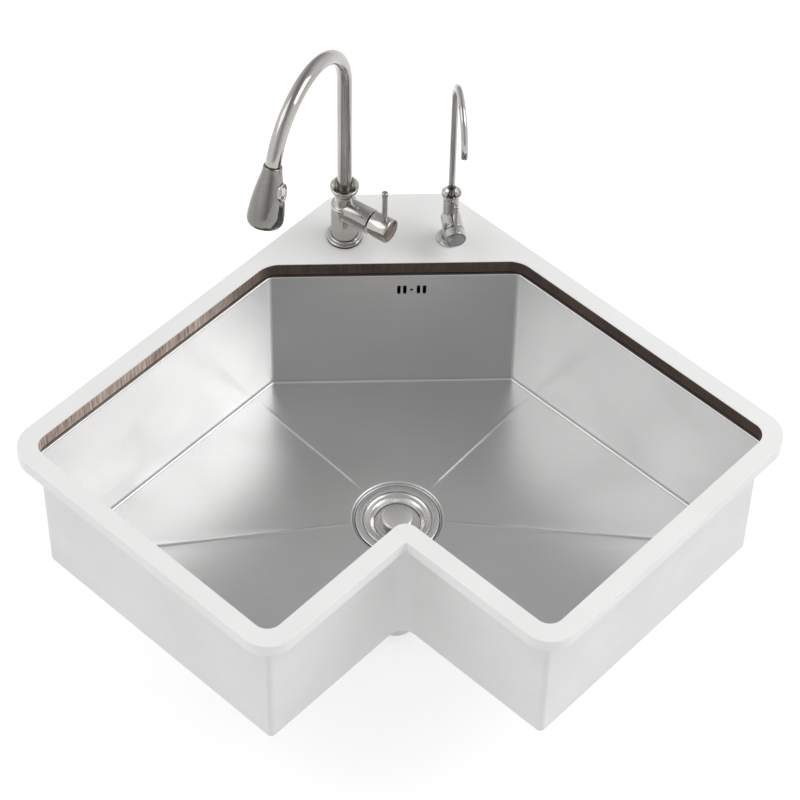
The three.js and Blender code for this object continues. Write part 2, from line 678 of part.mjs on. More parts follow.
function buildTrap(waste) {
  const nut = (radius, bore, from, to) =>
    prism(scallops(radius, 1.6, 8), from, to, [circle(bore)]);
  place(waste, 'trap_inlet_nut', nut(26, 20.6, -108, -92), whitePlastic());

  // Inside the bottle the inlet runs on down as a dip tube, past the branch, so that water seals it.
  const [bottleTop, bottleEnd, dipEnd, outletZ] = [-140, -205, -188, -160];
  const bottle = revolve([
    [20, -100.8], [20, -103], [18.5, -104.5], [18.5, bottleTop], [30, bottleTop - 10], [30, bottleEnd],
    [27, bottleEnd], [27, bottleTop - 8], [15.5, bottleTop - 2], [15.5, dipEnd], [13, dipEnd], [13, -100.8],
  ], FACETS.medium);
  const towardsWall = geometry => geometry.rotateX(-RIGHT_ANGLE).translate(0, 0, outletZ);
  const branch = cut(towardsWall(rod(18.5, 20, 62)), rod(28.5, bottleEnd, bottleTop + 20));
  const branchBore = towardsWall(rod(15.2, 18, 70));
  place(waste, 'trap_body', cut(join(bottle, branch), branchBore), whitePlastic());

  place(waste, 'trap_cup', revolveSolid([
    [0, -246], [18, -245], [29, -240], [33.4, -230], [33.4, -188], [30.8, -188], [30.8, -229], [26, -236],
    [0, -241],
  ], FACETS.medium), whitePlastic());

  place(waste, 'outlet_nut', towardsWall(nut(25, 19.2, 52, 68)), whitePlastic());
  place(waste, 'outlet_pipe', towardsWall(revolve([
    [16, 62.6], [18.6, 62.8], [18.6, 64.6], [16.4, 65.4], [16.4, 210], [14, 210], [14, 62.6],
  ], FACETS.medium)), whitePlastic());
}

function buildBasket(waste) {
  const cup = revolve([
    [47.4, -0.9], [47.4, 0.3], [38.3, 0.3], [32.4, -5.6], [32.4, -8.4], [30.2, -8.4], [30.2, -36],
    [27, -36], [27, -37], [31.4, -37], [31.4, -9.8], [33.8, -9.8], [33.8, -6.2], [38.4, -0.9],
  ]);
  const slots = Array.from({ length: 3 }, (_, i) =>
    block(80, 6, 16, 0, 0, -23).rotateZ((Math.PI * i) / 3));
  place(waste, 'strainer_basket', cut(cup, ...slots), brushedSteel());

  const holes = [[4, 8], [8, 19]].flatMap(([count, r]) => Array.from({ length: count }, (_, i) =>
    circle(2.4, r * Math.cos((2 * Math.PI * i) / count), r * Math.sin((2 * Math.PI * i) / count), 6)));
  place(waste, 'basket_screen', prism(circle(29.6, 0, 0, FACETS.large), -35.7, -34.9, holes), brushedSteel());

  place(waste, 'plug_seal', revolve([[31.8, -8.1], [31.8, -6.9], [29, -6.9], [29, -8.1]]), blackRubber());
  place(waste, 'plug_disc', revolve([
    [31.7, -6.6], [31.7, -5.8], [31.3, -5.5], [4.4, -5.5], [4.4, -6.6],
  ]), brushedSteel());
  place(waste, 'plug_knob', revolveSolid([
    [0, -12], [4, -12], [4, 0.6], [8, 1.8], [20.2, 2.4], [21.4, 3.6], [21.4, 5.4], [20.6, 6.6],
    [14, 7.7], [0, 8.2],
  ]), polishedSteel());
}

// ---------------------------------------------------------------- mixer tap
function buildMixer() {
  const tap = groupAt(sink, mixer.x, mixer.y, worktop.thickness);
  const board = -worktop.thickness;
  const washerSeat = board + worktop.seat.depth;

  place(tap, 'tap_base_gasket', revolve([[23.4, 0.3], [23.4, 1.6], [18, 1.6], [18, 0.3]]), blackRubber());
  place(tap, 'tap_base_ring', revolve([
    [24.5, 1.9], [24.9, 3.2], [23.8, 5.4], [22.2, 6], [21.4, 8.2], [19.3, 9.2], [19.3, 5], [16.6, 5],
    [16.6, 1.9],
  ]), polishedSteel());

  buildMixerBody(tap);
  place(tap, 'tap_collar', revolve([
    [13.5, mixer.neckTop + GAP], [13.9, 87.5], [18.4, 94.6], [19.9, 99], [19.4, 102.2],
    [18.2, mixer.collarTop], [10.5, 99.5], [10.5, mixer.neckTop + GAP],
  ]), polishedSteel());

  place(tap, 'tap_shank', revolve([
    [16, 4.7], [16, board - 55], [12.5, board - 55], [12.5, 4.7],
  ], FACETS.medium), brass());
  place(tap, 'tap_clamp_washer', revolve([
    [28, washerSeat - GAP], [28, washerSeat - 4], [16.8, washerSeat - 4], [16.8, washerSeat - GAP],
  ], FACETS.medium), blackRubber());
  place(tap, 'tap_locknut',
    prism(scallops(26, 2, 8), washerSeat - 14, washerSeat - 4.3, [circle(16.6)]), brass());
  [['tap_inlet_hot', -5.4], ['tap_inlet_cold', 5.4]].forEach(([name, x]) => {
    place(tap, name, revolve([
      [4.6, board - 20], [4.6, board - 82], [5.1, board - 84], [5.1, board - 100], [3, board - 100],
      [3, board - 20],
    ], FACETS.tiny).translate(x, 0, 0), brass());
  });

  buildValve(tap);
  buildSpout(tap);
}

/** The upright body with its neck, and the side arm that holds the cartridge. */
function buildMixerBody(tap) {
  const { bodyRadius, neckRadius, shoulder, neckTop, armRadius, armEnd, armHeight, armAzimuth } = mixer;
  const foot = 5 + GAP;
  const upright = revolveSolid([
    [0, foot], [bodyRadius, foot], [bodyRadius, shoulder - 2.5], [bodyRadius - 1.2, shoulder - 0.6],
    [neckRadius + 1.6, shoulder + 0.8], [neckRadius, shoulder + 4], [neckRadius, neckTop], [0, neckTop],
  ]);
  const arm = alongX(revolveSolid([
    [0, 0], [armRadius, 0], [armRadius, armEnd - 0.6], [armRadius - 0.6, armEnd], [0, armEnd],
  ])).rotateZ(rad(armAzimuth)).translate(0, 0, armHeight);
  const seat = alongX(rod(14.4, 26, armEnd + 5)).rotateZ(rad(armAzimuth)).translate(0, 0, armHeight);
  const socket = rod(mixer.tubeRadius + 0.5, mixer.tubeStart - 0.5, neckTop + 5);
  place(tap, 'tap_body', cut(join(upright, arm), seat, socket), polishedSteel());
}

/** Cartridge, its turning dome and the lever that tilts on it. */
function buildValve(tap) {
  const arm = armGroup(tap, mixer.armAzimuth, mixer.armHeight);
  place(arm, 'tap_cartridge', alongX(revolve([
    [14, 26.4], [14, 41], [11.2, 41], [11.2, 38], [3, 38], [3, 26.4],
  ], FACETS.medium)), darkPlastic());
  place(arm, 'cartridge_dome', alongX(revolveSolid([
    [0, 38.4], [10.8, 38.4], [10.8, 45], [9.6, 48.4], [7, 50.6], [4, 51.4], [0, 51.4],
  ], FACETS.small)), darkPlastic());

  const { armRadius, hubStart, hubEnd, pinAt, pinRadius, pinTop, armHeight } = mixer;
  const shell = revolveSolid([
    [0, hubStart], [armRadius, hubStart], [armRadius, hubEnd - 2.4], [armRadius - 0.7, hubEnd - 0.7],
    [armRadius - 2.4, hubEnd], [0, hubEnd],
  ]);
  const hollow = rod(12.6, hubStart - 1, 57);
  // The underside of the hub's back edge is cut away, so that the lever can tilt out.
  const relief = [
    new THREE.Vector2(armRadius + 1, hubStart - 1), new THREE.Vector2(armRadius + 1, hubStart + 8.6),
    new THREE.Vector2(-3, hubStart - 1),
  ];
  const reliefTool = prism(relief, -armRadius - 2, armRadius + 2).rotateX(RIGHT_ANGLE);
  const pinHole = rod(pinRadius + 0.2, 5, 40, FACETS.small).rotateY(-RIGHT_ANGLE).translate(0, 0, pinAt);
  const hub = cut(shell, hollow, reliefTool, pinHole);
  place(arm, 'lever_hub', alongX(hub), polishedSteel());

  const pinHeight = pinTop - armHeight;
  place(arm, 'lever_pin', revolveSolid([
    [0, 6], [pinRadius, 6], [pinRadius, pinHeight - 12], [pinRadius + 0.8, pinHeight - 6],
    [pinRadius + 0.8, pinHeight - 1.2], [pinRadius - 0.2, pinHeight], [1.6, pinHeight],
    [1.6, pinHeight - 1], [0, pinHeight - 1],
  ], FACETS.small).translate(pinAt, 0, 0), polishedSteel());
}

function buildSpout(tap) {
  const { spoutAzimuth, bendRadius, tubeStart, tubeBend, tubeRadius, tubeBore } = mixer;
  const side = heading(spoutAzimuth);
  const angle = rad(mixer.bendAngle);
  const path = new BentPath({
    start: new THREE.Vector3(0, 0, tubeStart), direction: UP, side, run: tubeBend - tubeStart,
    radius: bendRadius, angle, bendSteps: 12,
  });
  place(tap, 'spout_tube', pipe(path, tubeRadius, tubeBore, FACETS.small), polishedSteel());
  buildSprayHead(tap, side, angle);
}

/** The pull-down head, along the tangent at the end of the bend. Its +Z points back up the spout. */
function buildSprayHead(tap, side, angle) {
  const end = new THREE.Vector3(0, 0, mixer.tubeBend + mixer.bendRadius * Math.sin(angle))
    .addScaledVector(side, mixer.bendRadius * (1 - Math.cos(angle)));
  const down = UP.clone().multiplyScalar(Math.cos(angle)).addScaledVector(side, Math.sin(angle));
  const head = groupAt(tap, end.x, end.y, end.z);
  const back = down.clone().negate();
  const across = new THREE.Vector3().crossVectors(UP, side).normalize();
  const turn = new THREE.Matrix4().makeBasis(across, back.clone().cross(across), back);
  head.quaternion.setFromRotationMatrix(turn);

  const { headLength: length, headTopRadius: top, headRadius: wide } = mixer;
  const outer = [
    [top, -GAP], [top + 0.9, -2], [14.6, -16], [18.2, -32], [21.2, -48], [23.2, -64], [wide, -74],
    [wide - 0.4, -80], [wide - 3.6, -length],
  ];
  const inner = [[wide - 4, -length + 12], [17, -48], [6.2, -12], [6.2, -GAP]];
  const shell = revolve([...outer, [wide - 4, -length], ...inner]);
  const pocket = ellipseTool(13.4, 10.4, 9, 40);
  const button = { azimuth: 0, at: -37, radius: 19.4 };
  const atButton = geometry => geometry.rotateY(RIGHT_ANGLE - rad(10.5)).translate(0, 0, button.at);
  place(head, 'spray_shell', cut(shell, atButton(pocket)), polishedSteel());

  place(head, 'spray_face', revolve([
    [wide - 4.3, -length + 2.2], [wide - 4.3, -length + 8], [4, -length + 8], [4, -length + 6],
    [3, -length + 1.4], [wide - 5, -length + 1.4],
  ], FACETS.medium), darkPlastic());
  const bezel = cut(ellipseTool(13, 10, 12.2, 20.9), ellipseTool(8.2, 7.2, 10, 30));
  place(head, 'spray_bezel', atButton(bezel), polishedSteel());
  place(head, 'spray_button', atButton(ellipseTool(7.8, 6.8, 16.4, 21.3)), polishedSteel());
  const stub = [[4.4, -14], [4.4, 24], [2.8, 24], [2.8, -14]];
  place(head, 'hose_end', revolve(stub, FACETS.tiny), darkPlastic());
}

/** An oval plug along +Z: half-length along X, half-width along Y. */
function ellipseTool(halfLength, halfWidth, from, to) {
  const points = Array.from({ length: 24 }, (_, i) => {
    const a = (2 * Math.PI * i) / 24;
    return new THREE.Vector2(halfLength * Math.cos(a), halfWidth * Math.sin(a));
  });
  return prism(points, from, to);
}

// ---------------------------------------------------------------- drinking-water tap
function buildFilterTap() {
  const tap = groupAt(sink, filter.x, filter.y, worktop.thickness);
  const board = -worktop.thickness;
  const washerSeat = board + worktop.seat.depth;
  const { bodyRadius, collarRadius, collarTop, armRadius, armEnd, armHeight, armAzimuth } = filter;

  place(tap, 'filter_base_ring', revolve([
    [18, 0.3], [18.3, 1.4], [17.6, 3], [15.4, 4.2], [12.2, 5.4], [11.6, 5.4], [11.6, 3], [6.4, 3], [6.4, 0.3],
  ], FACETS.medium), polishedSteel());
  const upright = revolveSolid([[0, 3.3], [bodyRadius, 3.3], [bodyRadius, 80], [0, 80]], FACETS.medium);
  const arm = alongX(revolveSolid([[0, 0], [armRadius, 0], [armRadius, armEnd], [0, armEnd]], FACETS.medium));
  const socket = rod(filter.tubeRadius + 0.5, 66, 90, FACETS.small);
  const seat = alongX(rod(9.4, 18, armEnd + 5));
  const turned = geometry => geometry.rotateZ(rad(armAzimuth)).translate(0, 0, armHeight);
  place(tap, 'filter_body', cut(join(upright, turned(arm)), turned(seat), socket), polishedSteel());
  place(tap, 'filter_collar', revolve([
    [bodyRadius, 80.3], [bodyRadius, 84], [12.4, 87], [collarRadius, 90.4], [collarRadius, collarTop],
    [12.8, collarTop + 0.6], [5.1, 88.5], [5.1, 80.3],
  ], FACETS.medium), polishedSteel());
  const shank = [[6, 2.7], [6, board - 38], [3, board - 38], [3, 2.7]];
  place(tap, 'filter_shank', revolve(shank, FACETS.tiny), brass());
  const nutBore = circle(6.5, 0, 0, FACETS.small);
  place(tap, 'filter_locknut', prism(hexagon(12), washerSeat - 9, washerSeat - GAP, [nutBore]), brass());

  const path = new BentPath({
    start: new THREE.Vector3(0, 0, filter.tubeStart), direction: UP, side: heading(filter.spoutAzimuth),
    run: filter.tubeBend - filter.tubeStart, radius: filter.bendRadius, angle: rad(filter.bendAngle),
    tail: filter.tipLength, bendSteps: 12,
  });
  place(tap, 'filter_spout', pipe(path, filter.tubeRadius, filter.tubeBore, FACETS.tiny), polishedSteel());

  const valve = armGroup(tap, armAzimuth, armHeight);
  place(valve, 'filter_cartridge', alongX(revolveSolid([
    [0, 18.3], [9, 18.3], [9, 29], [4, 29], [4, 36], [0, 36],
  ], FACETS.small)), brass());
  const hubShell = revolveSolid([
    [0, filter.hubStart], [armRadius, filter.hubStart], [armRadius, filter.hubEnd - 1.2],
    [armRadius - 1.2, filter.hubEnd], [0, filter.hubEnd],
  ], FACETS.medium);
  const pinHole = rod(filter.pinRadius + 0.2, 4.6, 40, FACETS.tiny)
    .rotateY(-RIGHT_ANGLE).translate(0, 0, filter.pinAt + 1);
  const hub = cut(hubShell, rod(4.3, 30, 36.4, FACETS.small), pinHole);
  place(valve, 'filter_hub', alongX(hub), polishedSteel());
  const pinHeight = filter.pinTop - armHeight;
  place(valve, 'filter_pin', revolveSolid([
    [0, 5], [filter.pinRadius, 5], [filter.pinRadius, pinHeight - 6], [3.2, pinHeight - 4.6],
    [3.6, pinHeight - 2.6], [2.8, pinHeight - 0.7], [0, pinHeight],
  ], FACETS.tiny).translate(filter.pinAt + 1, 0, 0), polishedSteel());
}

buildWorktop();
buildBowl();
buildRimScrews();
buildWaste(buildOverflow());
buildMixer();
buildFilterTap();

export default sink;
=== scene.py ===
import bpy
import bmesh
import math
from mathutils import Matrix, Vector


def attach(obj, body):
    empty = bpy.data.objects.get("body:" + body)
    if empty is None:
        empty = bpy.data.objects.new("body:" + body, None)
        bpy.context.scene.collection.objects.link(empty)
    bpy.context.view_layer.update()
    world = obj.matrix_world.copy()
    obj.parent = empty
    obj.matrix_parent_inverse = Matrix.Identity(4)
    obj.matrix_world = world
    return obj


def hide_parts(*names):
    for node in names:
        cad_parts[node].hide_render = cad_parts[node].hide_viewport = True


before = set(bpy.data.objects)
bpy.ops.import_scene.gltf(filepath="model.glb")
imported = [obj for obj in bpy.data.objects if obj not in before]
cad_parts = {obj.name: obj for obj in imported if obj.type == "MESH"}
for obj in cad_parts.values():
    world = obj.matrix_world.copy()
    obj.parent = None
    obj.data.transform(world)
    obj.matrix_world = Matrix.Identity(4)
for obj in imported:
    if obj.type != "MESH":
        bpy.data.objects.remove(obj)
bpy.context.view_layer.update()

mm = 0.001
root2 = math.sqrt(2)
diagonal = 1 / root2
scene = bpy.context.scene


# small helpers, each one a step done by hand in the viewport
def deselectAll():
    if bpy.context.object and bpy.context.object.mode != 'OBJECT':
        bpy.ops.object.mode_set(mode='OBJECT')
    bpy.ops.object.select_all(action='DESELECT')


def makeActive(obj):
    deselectAll()
    obj.select_set(True)
    bpy.context.view_layer.objects.active = obj


def editMode(obj):
    makeActive(obj)
    bpy.ops.object.mode_set(mode='EDIT')


def objectMode():
    bpy.ops.object.mode_set(mode='OBJECT')


def pick(kind, test):
    # selects the vertices, edges or faces that pass the test, and returns how many
    bpy.ops.mesh.select_mode(type=kind)
    bpy.ops.mesh.select_all(action='DESELECT')
    mesh = bpy.context.object.data
    bm = bmesh.from_edit_mesh(mesh)
    items = {'VERT': bm.verts, 'EDGE': bm.edges, 'FACE': bm.faces}[kind]
    chosen = [item for item in items if not item.hide and test(item)]
    for item in chosen:
        item.select_set(True)
    bm.select_flush_mode()
    bmesh.update_edit_mesh(mesh)
    return len(chosen)


def centreOf(item):
    if hasattr(item, "calc_center_median"):
        return item.calc_center_median()
    return (item.verts[0].co + item.verts[1].co) / 2


def near(a, b, within=0.02 * mm):
    return abs(a - b) < within


def selectEverything():
    bpy.ops.mesh.select_all(action='SELECT')


def closeUp():
    # turns all faces outward and leaves edit mode
    selectEverything()
    bpy.ops.mesh.normals_make_consistent(inside=False)
    objectMode()


def moveBy(x=0, y=0, z=0):
    bpy.ops.transform.translate(value=(x * mm, y * mm, z * mm))


def drawUp(height):
    # extrudes the selected faces
    bpy.ops.mesh.extrude_region_move(TRANSFORM_OT_translate={"value": (0, 0, height * mm)})


def scaleBy(x, y, z=1, middle=(0, 0, 0)):
    bpy.ops.transform.resize(value=(x, y, z), center_override=middle)


def bevelPicked(offset, segments, affect='EDGES'):
    bpy.ops.mesh.bevel(offset=offset * mm, segments=segments, affect=affect, profile=0.5)


def bisectAt(place, normal, **settings):
    bpy.ops.mesh.bisect(plane_co=place, plane_no=normal, **settings)


def newCircle(radius, sides, place=(0, 0, 0), fill='NOTHING'):
    deselectAll()
    bpy.ops.mesh.primitive_circle_add(vertices=sides, radius=radius * mm, fill_type=fill, location=place)
    return bpy.context.object


def applyModifier(obj, kind, **values):
    makeActive(obj)
    modifier = obj.modifiers.new(kind.lower(), kind)
    for key, value in values.items():
        setattr(modifier, key, value)
    bpy.ops.object.modifier_apply(modifier=modifier.name)


def joinAll(pieces):
    deselectAll()
    for piece in pieces:
        piece.select_set(True)
    bpy.context.view_layer.objects.active = pieces[0]
    if len(pieces) > 1:
        bpy.ops.object.join()
    return pieces[0]


def combine(obj, others, operation):
    other = joinAll(others)
    applyModifier(obj, 'BOOLEAN', operation=operation, solver='EXACT', object=other, use_self=len(others) > 1)
    bpy.data.objects.remove(other)
    return obj


def subtract(obj, *cutters):
    return combine(obj, cutters, 'DIFFERENCE')


def fuse(obj, *others):
    for other in others:
        combine(obj, [other], 'UNION')
    return obj


def settle(obj, placement=None):
    # puts the place into the mesh, so that the object itself sits at the origin
    makeActive(obj)
    if placement is not None:
        obj.matrix_world = placement @ obj.matrix_world
    bpy.ops.object.transform_apply(location=True, rotation=True, scale=True)
    return obj


def softenEdges(obj, width=0.25, segments=2, degrees=28):
    applyModifier(obj, 'BEVEL', width=width * mm, segments=segments, limit_method='ANGLE',
                  angle_limit=math.radians(degrees), use_clamp_overlap=True)
    return obj


def smooth(obj, degrees=32):
    makeActive(obj)
    bpy.ops.object.shade_smooth_by_angle(angle=math.radians(degrees))
    return obj


def evenShading(obj):
    applyModifier(obj, 'WEIGHTED_NORMAL', keep_sharp=True, weight=80)
    return obj


def finishPiece(obj, place, name, body, finish, *replaced):
    # its place, its name, the body it rides on, its finish, and the CAD nodes that it stands for
    if place is not None:
        smooth(settle(obj, place))
    obj.name = name
    obj.data.name = name
    if not obj.data.materials:
        obj.data.materials.append(finishes[finish])
    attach(obj, body)
    if replaced:
        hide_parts(*replaced)


def copyOf(obj, placement):
    twin = obj.copy()
    twin.data = obj.data.copy()
    scene.collection.objects.link(twin)
    return settle(twin, placement)


def curved(points, steps=4):
    # a smooth line through the given stations
    line = []
    last = len(points) - 1
    for i in range(last):
        p0, p1, p2, p3 = (Vector(points[min(max(i + k, 0), last)]) for k in (-1, 0, 1, 2))
        for step in range(steps):
            t = step / steps
            line.append((((-p0 + 3 * p1 - 3 * p2 + p3) * t + (2 * p0 - 5 * p1 + 4 * p2 - p3)) * t
                         + (p2 - p0)) * t / 2 + p1)
    return [tuple(point) for point in line] + [tuple(points[-1])]


def turned(stations, sides=96, edge=0.25, edgeSteps=2, edgeAngle=28):
    # A circle is drawn out ring by ring, (radius, height) in mm. A list among the stations is a smooth
    # line: its steps, then its points. A station on the axis closes an end, and otherwise the last ring
    # is joined to the first, which makes a ring with a bore.
    parts = [curved(part[1:], part[0]) if isinstance(part, list) else [part] for part in stations]
    stations = [spot for part in parts for spot in part]
    closed = stations[0][0] > 0
    rings = stations if closed else stations[1:-1]
    obj = newCircle(rings[0][0], sides, (0, 0, rings[0][1] * mm))
    bpy.ops.object.transform_apply()
    bpy.ops.object.mode_set(mode='EDIT')
    selectEverything()
    if not closed:
        bpy.ops.mesh.edge_face_add()
        pick('EDGE', lambda e: True)
    last = rings[0]
    for radius, height in list(rings[1:]) + ([rings[0]] if closed else []):
        bpy.ops.mesh.extrude_edges_move()
        moveBy(z=height - last[1])
        scaleBy(radius / last[0], radius / last[0])
        last = (radius, height)
    if closed:
        selectEverything()
        bpy.ops.mesh.remove_doubles(threshold=0.002 * mm)
    else:
        bpy.ops.mesh.edge_face_add()
    closeUp()
    if edge:
        softenEdges(obj, edge, edgeSteps, edgeAngle)
    return smooth(obj)


def washer(outer, inner, start, end, edge, edgeSteps=2, sides=96):
    return turned([(outer, start), (outer, end), (inner, end), (inner, start)], sides, edge, edgeSteps)


def disc(radius, start, end, edge, sides=96):
    return turned([(0, start), (radius, start), (radius, end), (0, end)], sides, edge)


def cutThread(radius, depth, start, count, pitch=1.25, drop=0.62):
    # the stations of a cut thread, in and out
    heights = [start - index * pitch for index in range(count)]
    return [spot for z in heights for spot in ((radius, z), (radius - depth, z - drop))]


def rod(radius, low, high, sides=48):
    # a plain round bar or cutter, or a hexagon with six sides
    deselectAll()
    bpy.ops.mesh.primitive_cylinder_add(vertices=sides, radius=radius * mm, depth=(high - low) * mm,
                                        location=(0, 0, (low + high) / 2 * mm))
    bpy.ops.object.transform_apply()
    return bpy.context.object


def bar(x, y, z, at=(0, 0, 0), edge=0, edgeSteps=3):
    # a squared bar, its size and middle in mm, with its edges softened
    deselectAll()
    bpy.ops.mesh.primitive_cube_add(size=mm, location=Vector(at) * mm, scale=(x, y, z))
    obj = bpy.context.object
    bpy.ops.object.transform_apply()
    if edge:
        softenEdges(obj, edge, edgeSteps)
    return obj


def bentPipe(radius, run, bendRadius=0, angle=0, tail=0, bendSteps=40, sides=64, ripple=None):
    # a circle drawn up along Z, round a bend towards X, and straight on; ripple is (pitch, share of radius)
    obj = newCircle(radius, sides)
    bpy.ops.object.mode_set(mode='EDIT')
    selectEverything()
    bendLength = bendRadius * math.radians(angle)
    if ripple:
        count = int((run + bendLength + tail) / ripple[0]) * 2
        stations = [(run + bendLength + tail) * i / count for i in range(1, count + 1)]
    else:
        stations = [run] + [run + bendLength * i / bendSteps for i in range(1, bendSteps + 1)]
        stations += [run + bendLength + tail] if tail else []
    spot, facing, wide = Vector((0, 0, 0)), 0, 1

    def placeAt(length):
        bent = min(max(length - run, 0), bendLength) / bendRadius if bendRadius else 0
        past = max(0, length - run - bendLength)
        return Vector((bendRadius * (1 - math.cos(bent)) + past * math.sin(bent), 0,
                       min(length, run) + bendRadius * math.sin(bent) + past * math.cos(bent))), bent

    for index, length in enumerate(stations):
        place, bent = placeAt(length)
        step = place - spot
        bpy.ops.mesh.extrude_edges_move()
        moveBy(step.x, step.y, step.z)
        if bent != facing:
            bpy.ops.transform.rotate(value=facing - bent, orient_axis='Y', center_override=place * mm)
        if ripple:
            share = ripple[1] if index % 2 == 0 and index < len(stations) - 1 else 1
            scaleBy(*(share / wide,) * 3, place * mm)
            wide = share
        spot, facing = place, bent
    closeUp()
    return obj


def heading(azimuth):
    return Vector((math.cos(math.radians(azimuth)), math.sin(math.radians(azimuth)), 0))


def shift(x=0, y=0, z=0):
    return Matrix.Translation(Vector((x, y, z)) * mm)


def turn(degrees, axis):
    return Matrix.Rotation(math.radians(degrees), 4, axis)


# the V outline
vee = {
    "apexY": 75, "arm": 680, "width": 431, "chamfer": 245,
    "backRadius": 36, "endRadius": 20, "notchRadius": 20,
}
cornerTurns = [45, 45, 90, 90, 90, 90, 90]          # how far the outline turns at each corner, in degrees


def veeCorners(inset, ledgeY=None):
    # the seven corners, clockwise from the back left, moved inwards by inset
    apexY = vee["apexY"] - inset * root2
    arm = vee["arm"] - 2 * inset
    width = vee["width"] - 2 * inset
    if ledgeY is None:
        chamfer = vee["chamfer"] - inset * (2 - root2)
    else:
        chamfer = (apexY - ledgeY) * root2
    right, left = Vector((diagonal, -diagonal)), Vector((-diagonal, -diagonal))
    apex = Vector((0, apexY))
    return [
        apex + left * chamfer, apex + right * chamfer, apex + right * arm,
        apex + right * arm + left * width, apex + (right + left) * width,
        apex + left * arm + right * width, apex + left * arm,
    ]


def veeFace(inset, z, ledgeY=None):
    # a square plane stood on its corner, with the notch and the back corner cut off; stays in edit mode
    apexY = vee["apexY"] - inset * root2
    arm = vee["arm"] - 2 * inset
    corners = veeCorners(inset, ledgeY)
    deselectAll()
    bpy.ops.mesh.primitive_plane_add(size=arm * mm, location=(0, (apexY - arm * diagonal) * mm, z * mm),
                                     rotation=(0, 0, math.radians(45)))
    obj = bpy.context.object
    bpy.ops.object.transform_apply()
    bpy.ops.object.mode_set(mode='EDIT')
    backY, notch = corners[0].y * mm, corners[4] * mm
    selectEverything()
    bisectAt((0, backY, z * mm), (0, 1, 0), clear_outer=True)
    for side in (1, -1):
        selectEverything()
        bisectAt((notch.x, notch.y, z * mm), (side * diagonal, diagonal, 0))
    pick('FACE', lambda f: centreOf(f).y < notch.y and abs(centreOf(f).x) < notch.y - centreOf(f).y)
    bpy.ops.mesh.delete(type='FACE')
    selectEverything()
    bpy.ops.mesh.dissolve_limited(angle_limit=math.radians(1))
    return obj


def roundVee(corners, radii, segments=10):
    # rounds each corner of the flat outline by its own radius
    for corner, radius, bend in zip(corners, radii, cornerTurns):
        place = corner * mm
        pick('VERT', lambda v: (Vector(v.co[:2]) - place).length < 0.05 * mm)
        bevelPicked(radius * math.tan(math.radians(bend / 2)), segments, 'VERTICES')


def veePrism(inset, low, high, radii, ledgeY=None, segments=10):
    # the rounded outline drawn up into a solid
    obj = veeFace(inset, low, ledgeY)
    roundVee(veeCorners(inset, ledgeY), radii, segments)
    selectEverything()
    drawUp(high - low)
    closeUp()
    return obj


def openingRadii(skin=0):
    back, end, notch = vee["backRadius"] + skin, vee["endRadius"] + skin, vee["notchRadius"] - skin
    return [back, back, end, end, notch, end, end]


def ringOf(count, reach):
    # the places of holes or nubs in a ring round the axis
    angles = [2 * math.pi * index / count for index in range(count)]
    return [shift(reach * math.cos(angle), reach * math.sin(angle)) for angle in angles]


print("helpers ready")


# shader node groups: each gives masks and values that change over the surface
def addNode(tree, kind, inputs=None, **settings):
    # adds a node, then links or sets its inputs by name or number
    node = tree.nodes.new(kind)
    for key, value in settings.items():
        setattr(node, key, value)
    for key, value in (inputs or {}).items():
        if isinstance(value, bpy.types.NodeSocket):
            tree.links.new(value, node.inputs[key])
        else:
            node.inputs[key].default_value = value
    return node


def mathNode(tree, operation, first, second=0.0, third=None):
    inputs = {0: first, 1: second} if third is None else {0: first, 1: second, 2: third}
    return addNode(tree, 'ShaderNodeMath', inputs, operation=operation).outputs[0]


def rangeNode(tree, value, low, high, newLow=0.0, newHigh=1.0):
    inputs = {'Value': value, 'From Min': low, 'From Max': high, 'To Min': newLow, 'To Max': newHigh}
    return addNode(tree, 'ShaderNodeMapRange', inputs).outputs[0]


def sumOf(tree, first, share, second, rest):
    # two masks added, each by its share
    return mathNode(tree, 'MULTIPLY_ADD', first, share, mathNode(tree, 'MULTIPLY', second, rest))


def noise(tree, vector, scale, detail, more=None, **settings):
    inputs = {'Vector': vector, 'Scale': scale, 'Detail': detail, **(more or {})}
    return addNode(tree, 'ShaderNodeTexNoise', inputs, **settings).outputs[0]


def newGroup(name, inputs, build):
    # inputs as (label, kind, value); build gives the sockets that the group puts out, by label
    group = bpy.data.node_groups.new(name, 'ShaderNodeTree')
    for label, kind, value in [("Vector", "Vector", None)] + inputs:
        socket = group.interface.new_socket(name=label, in_out='INPUT', socket_type='NodeSocket' + kind)
        if value is not None:
            socket.default_value = value
    results = build(group, addNode(group, 'NodeGroupInput').outputs)
    for label in results:
        group.interface.new_socket(name=label, in_out='OUTPUT', socket_type='NodeSocketFloat')
    addNode(group, 'NodeGroupOutput', results)
    return group


def sheetLines(group, given):
    # fine lines drawn out along a sheet, and a slow drift in tone
    stretched = addNode(group, 'ShaderNodeVectorMath', {0: given[0], 1: given[1]}, operation='MULTIPLY')
    return {"Lines": noise(group, stretched.outputs[0], 1, 3, {'Roughness': 0.6}),
            "Drift": rangeNode(group, noise(group, given[0], given[2], 1), 0.3, 0.7)}


def latheRings(group, given):
    # the fine rings that a lathe or a polishing wheel leaves round an axis
    x, y, z = addNode(group, 'ShaderNodeSeparateXYZ', {0: given[0]}).outputs
    radius = mathNode(group, 'SQRT', mathNode(group, 'MULTIPLY_ADD', y, y, mathNode(group, 'MULTIPLY', x, x)))
    flat = addNode(group, 'ShaderNodeCombineXYZ', {0: radius, 1: z}).outputs[0]
    return {"Rings": noise(group, flat, given[1], 2, noise_dimensions='2D'),
            "Bands": noise(group, flat, 90, 1, noise_dimensions='2D')}


def handMarks(group, given):
    # where hands and water have dulled the surface a little
    return {"Mask": rangeNode(group, noise(group, given[0], given[1], 4, {'Distortion': 0.6}), 0.48, 0.72)}


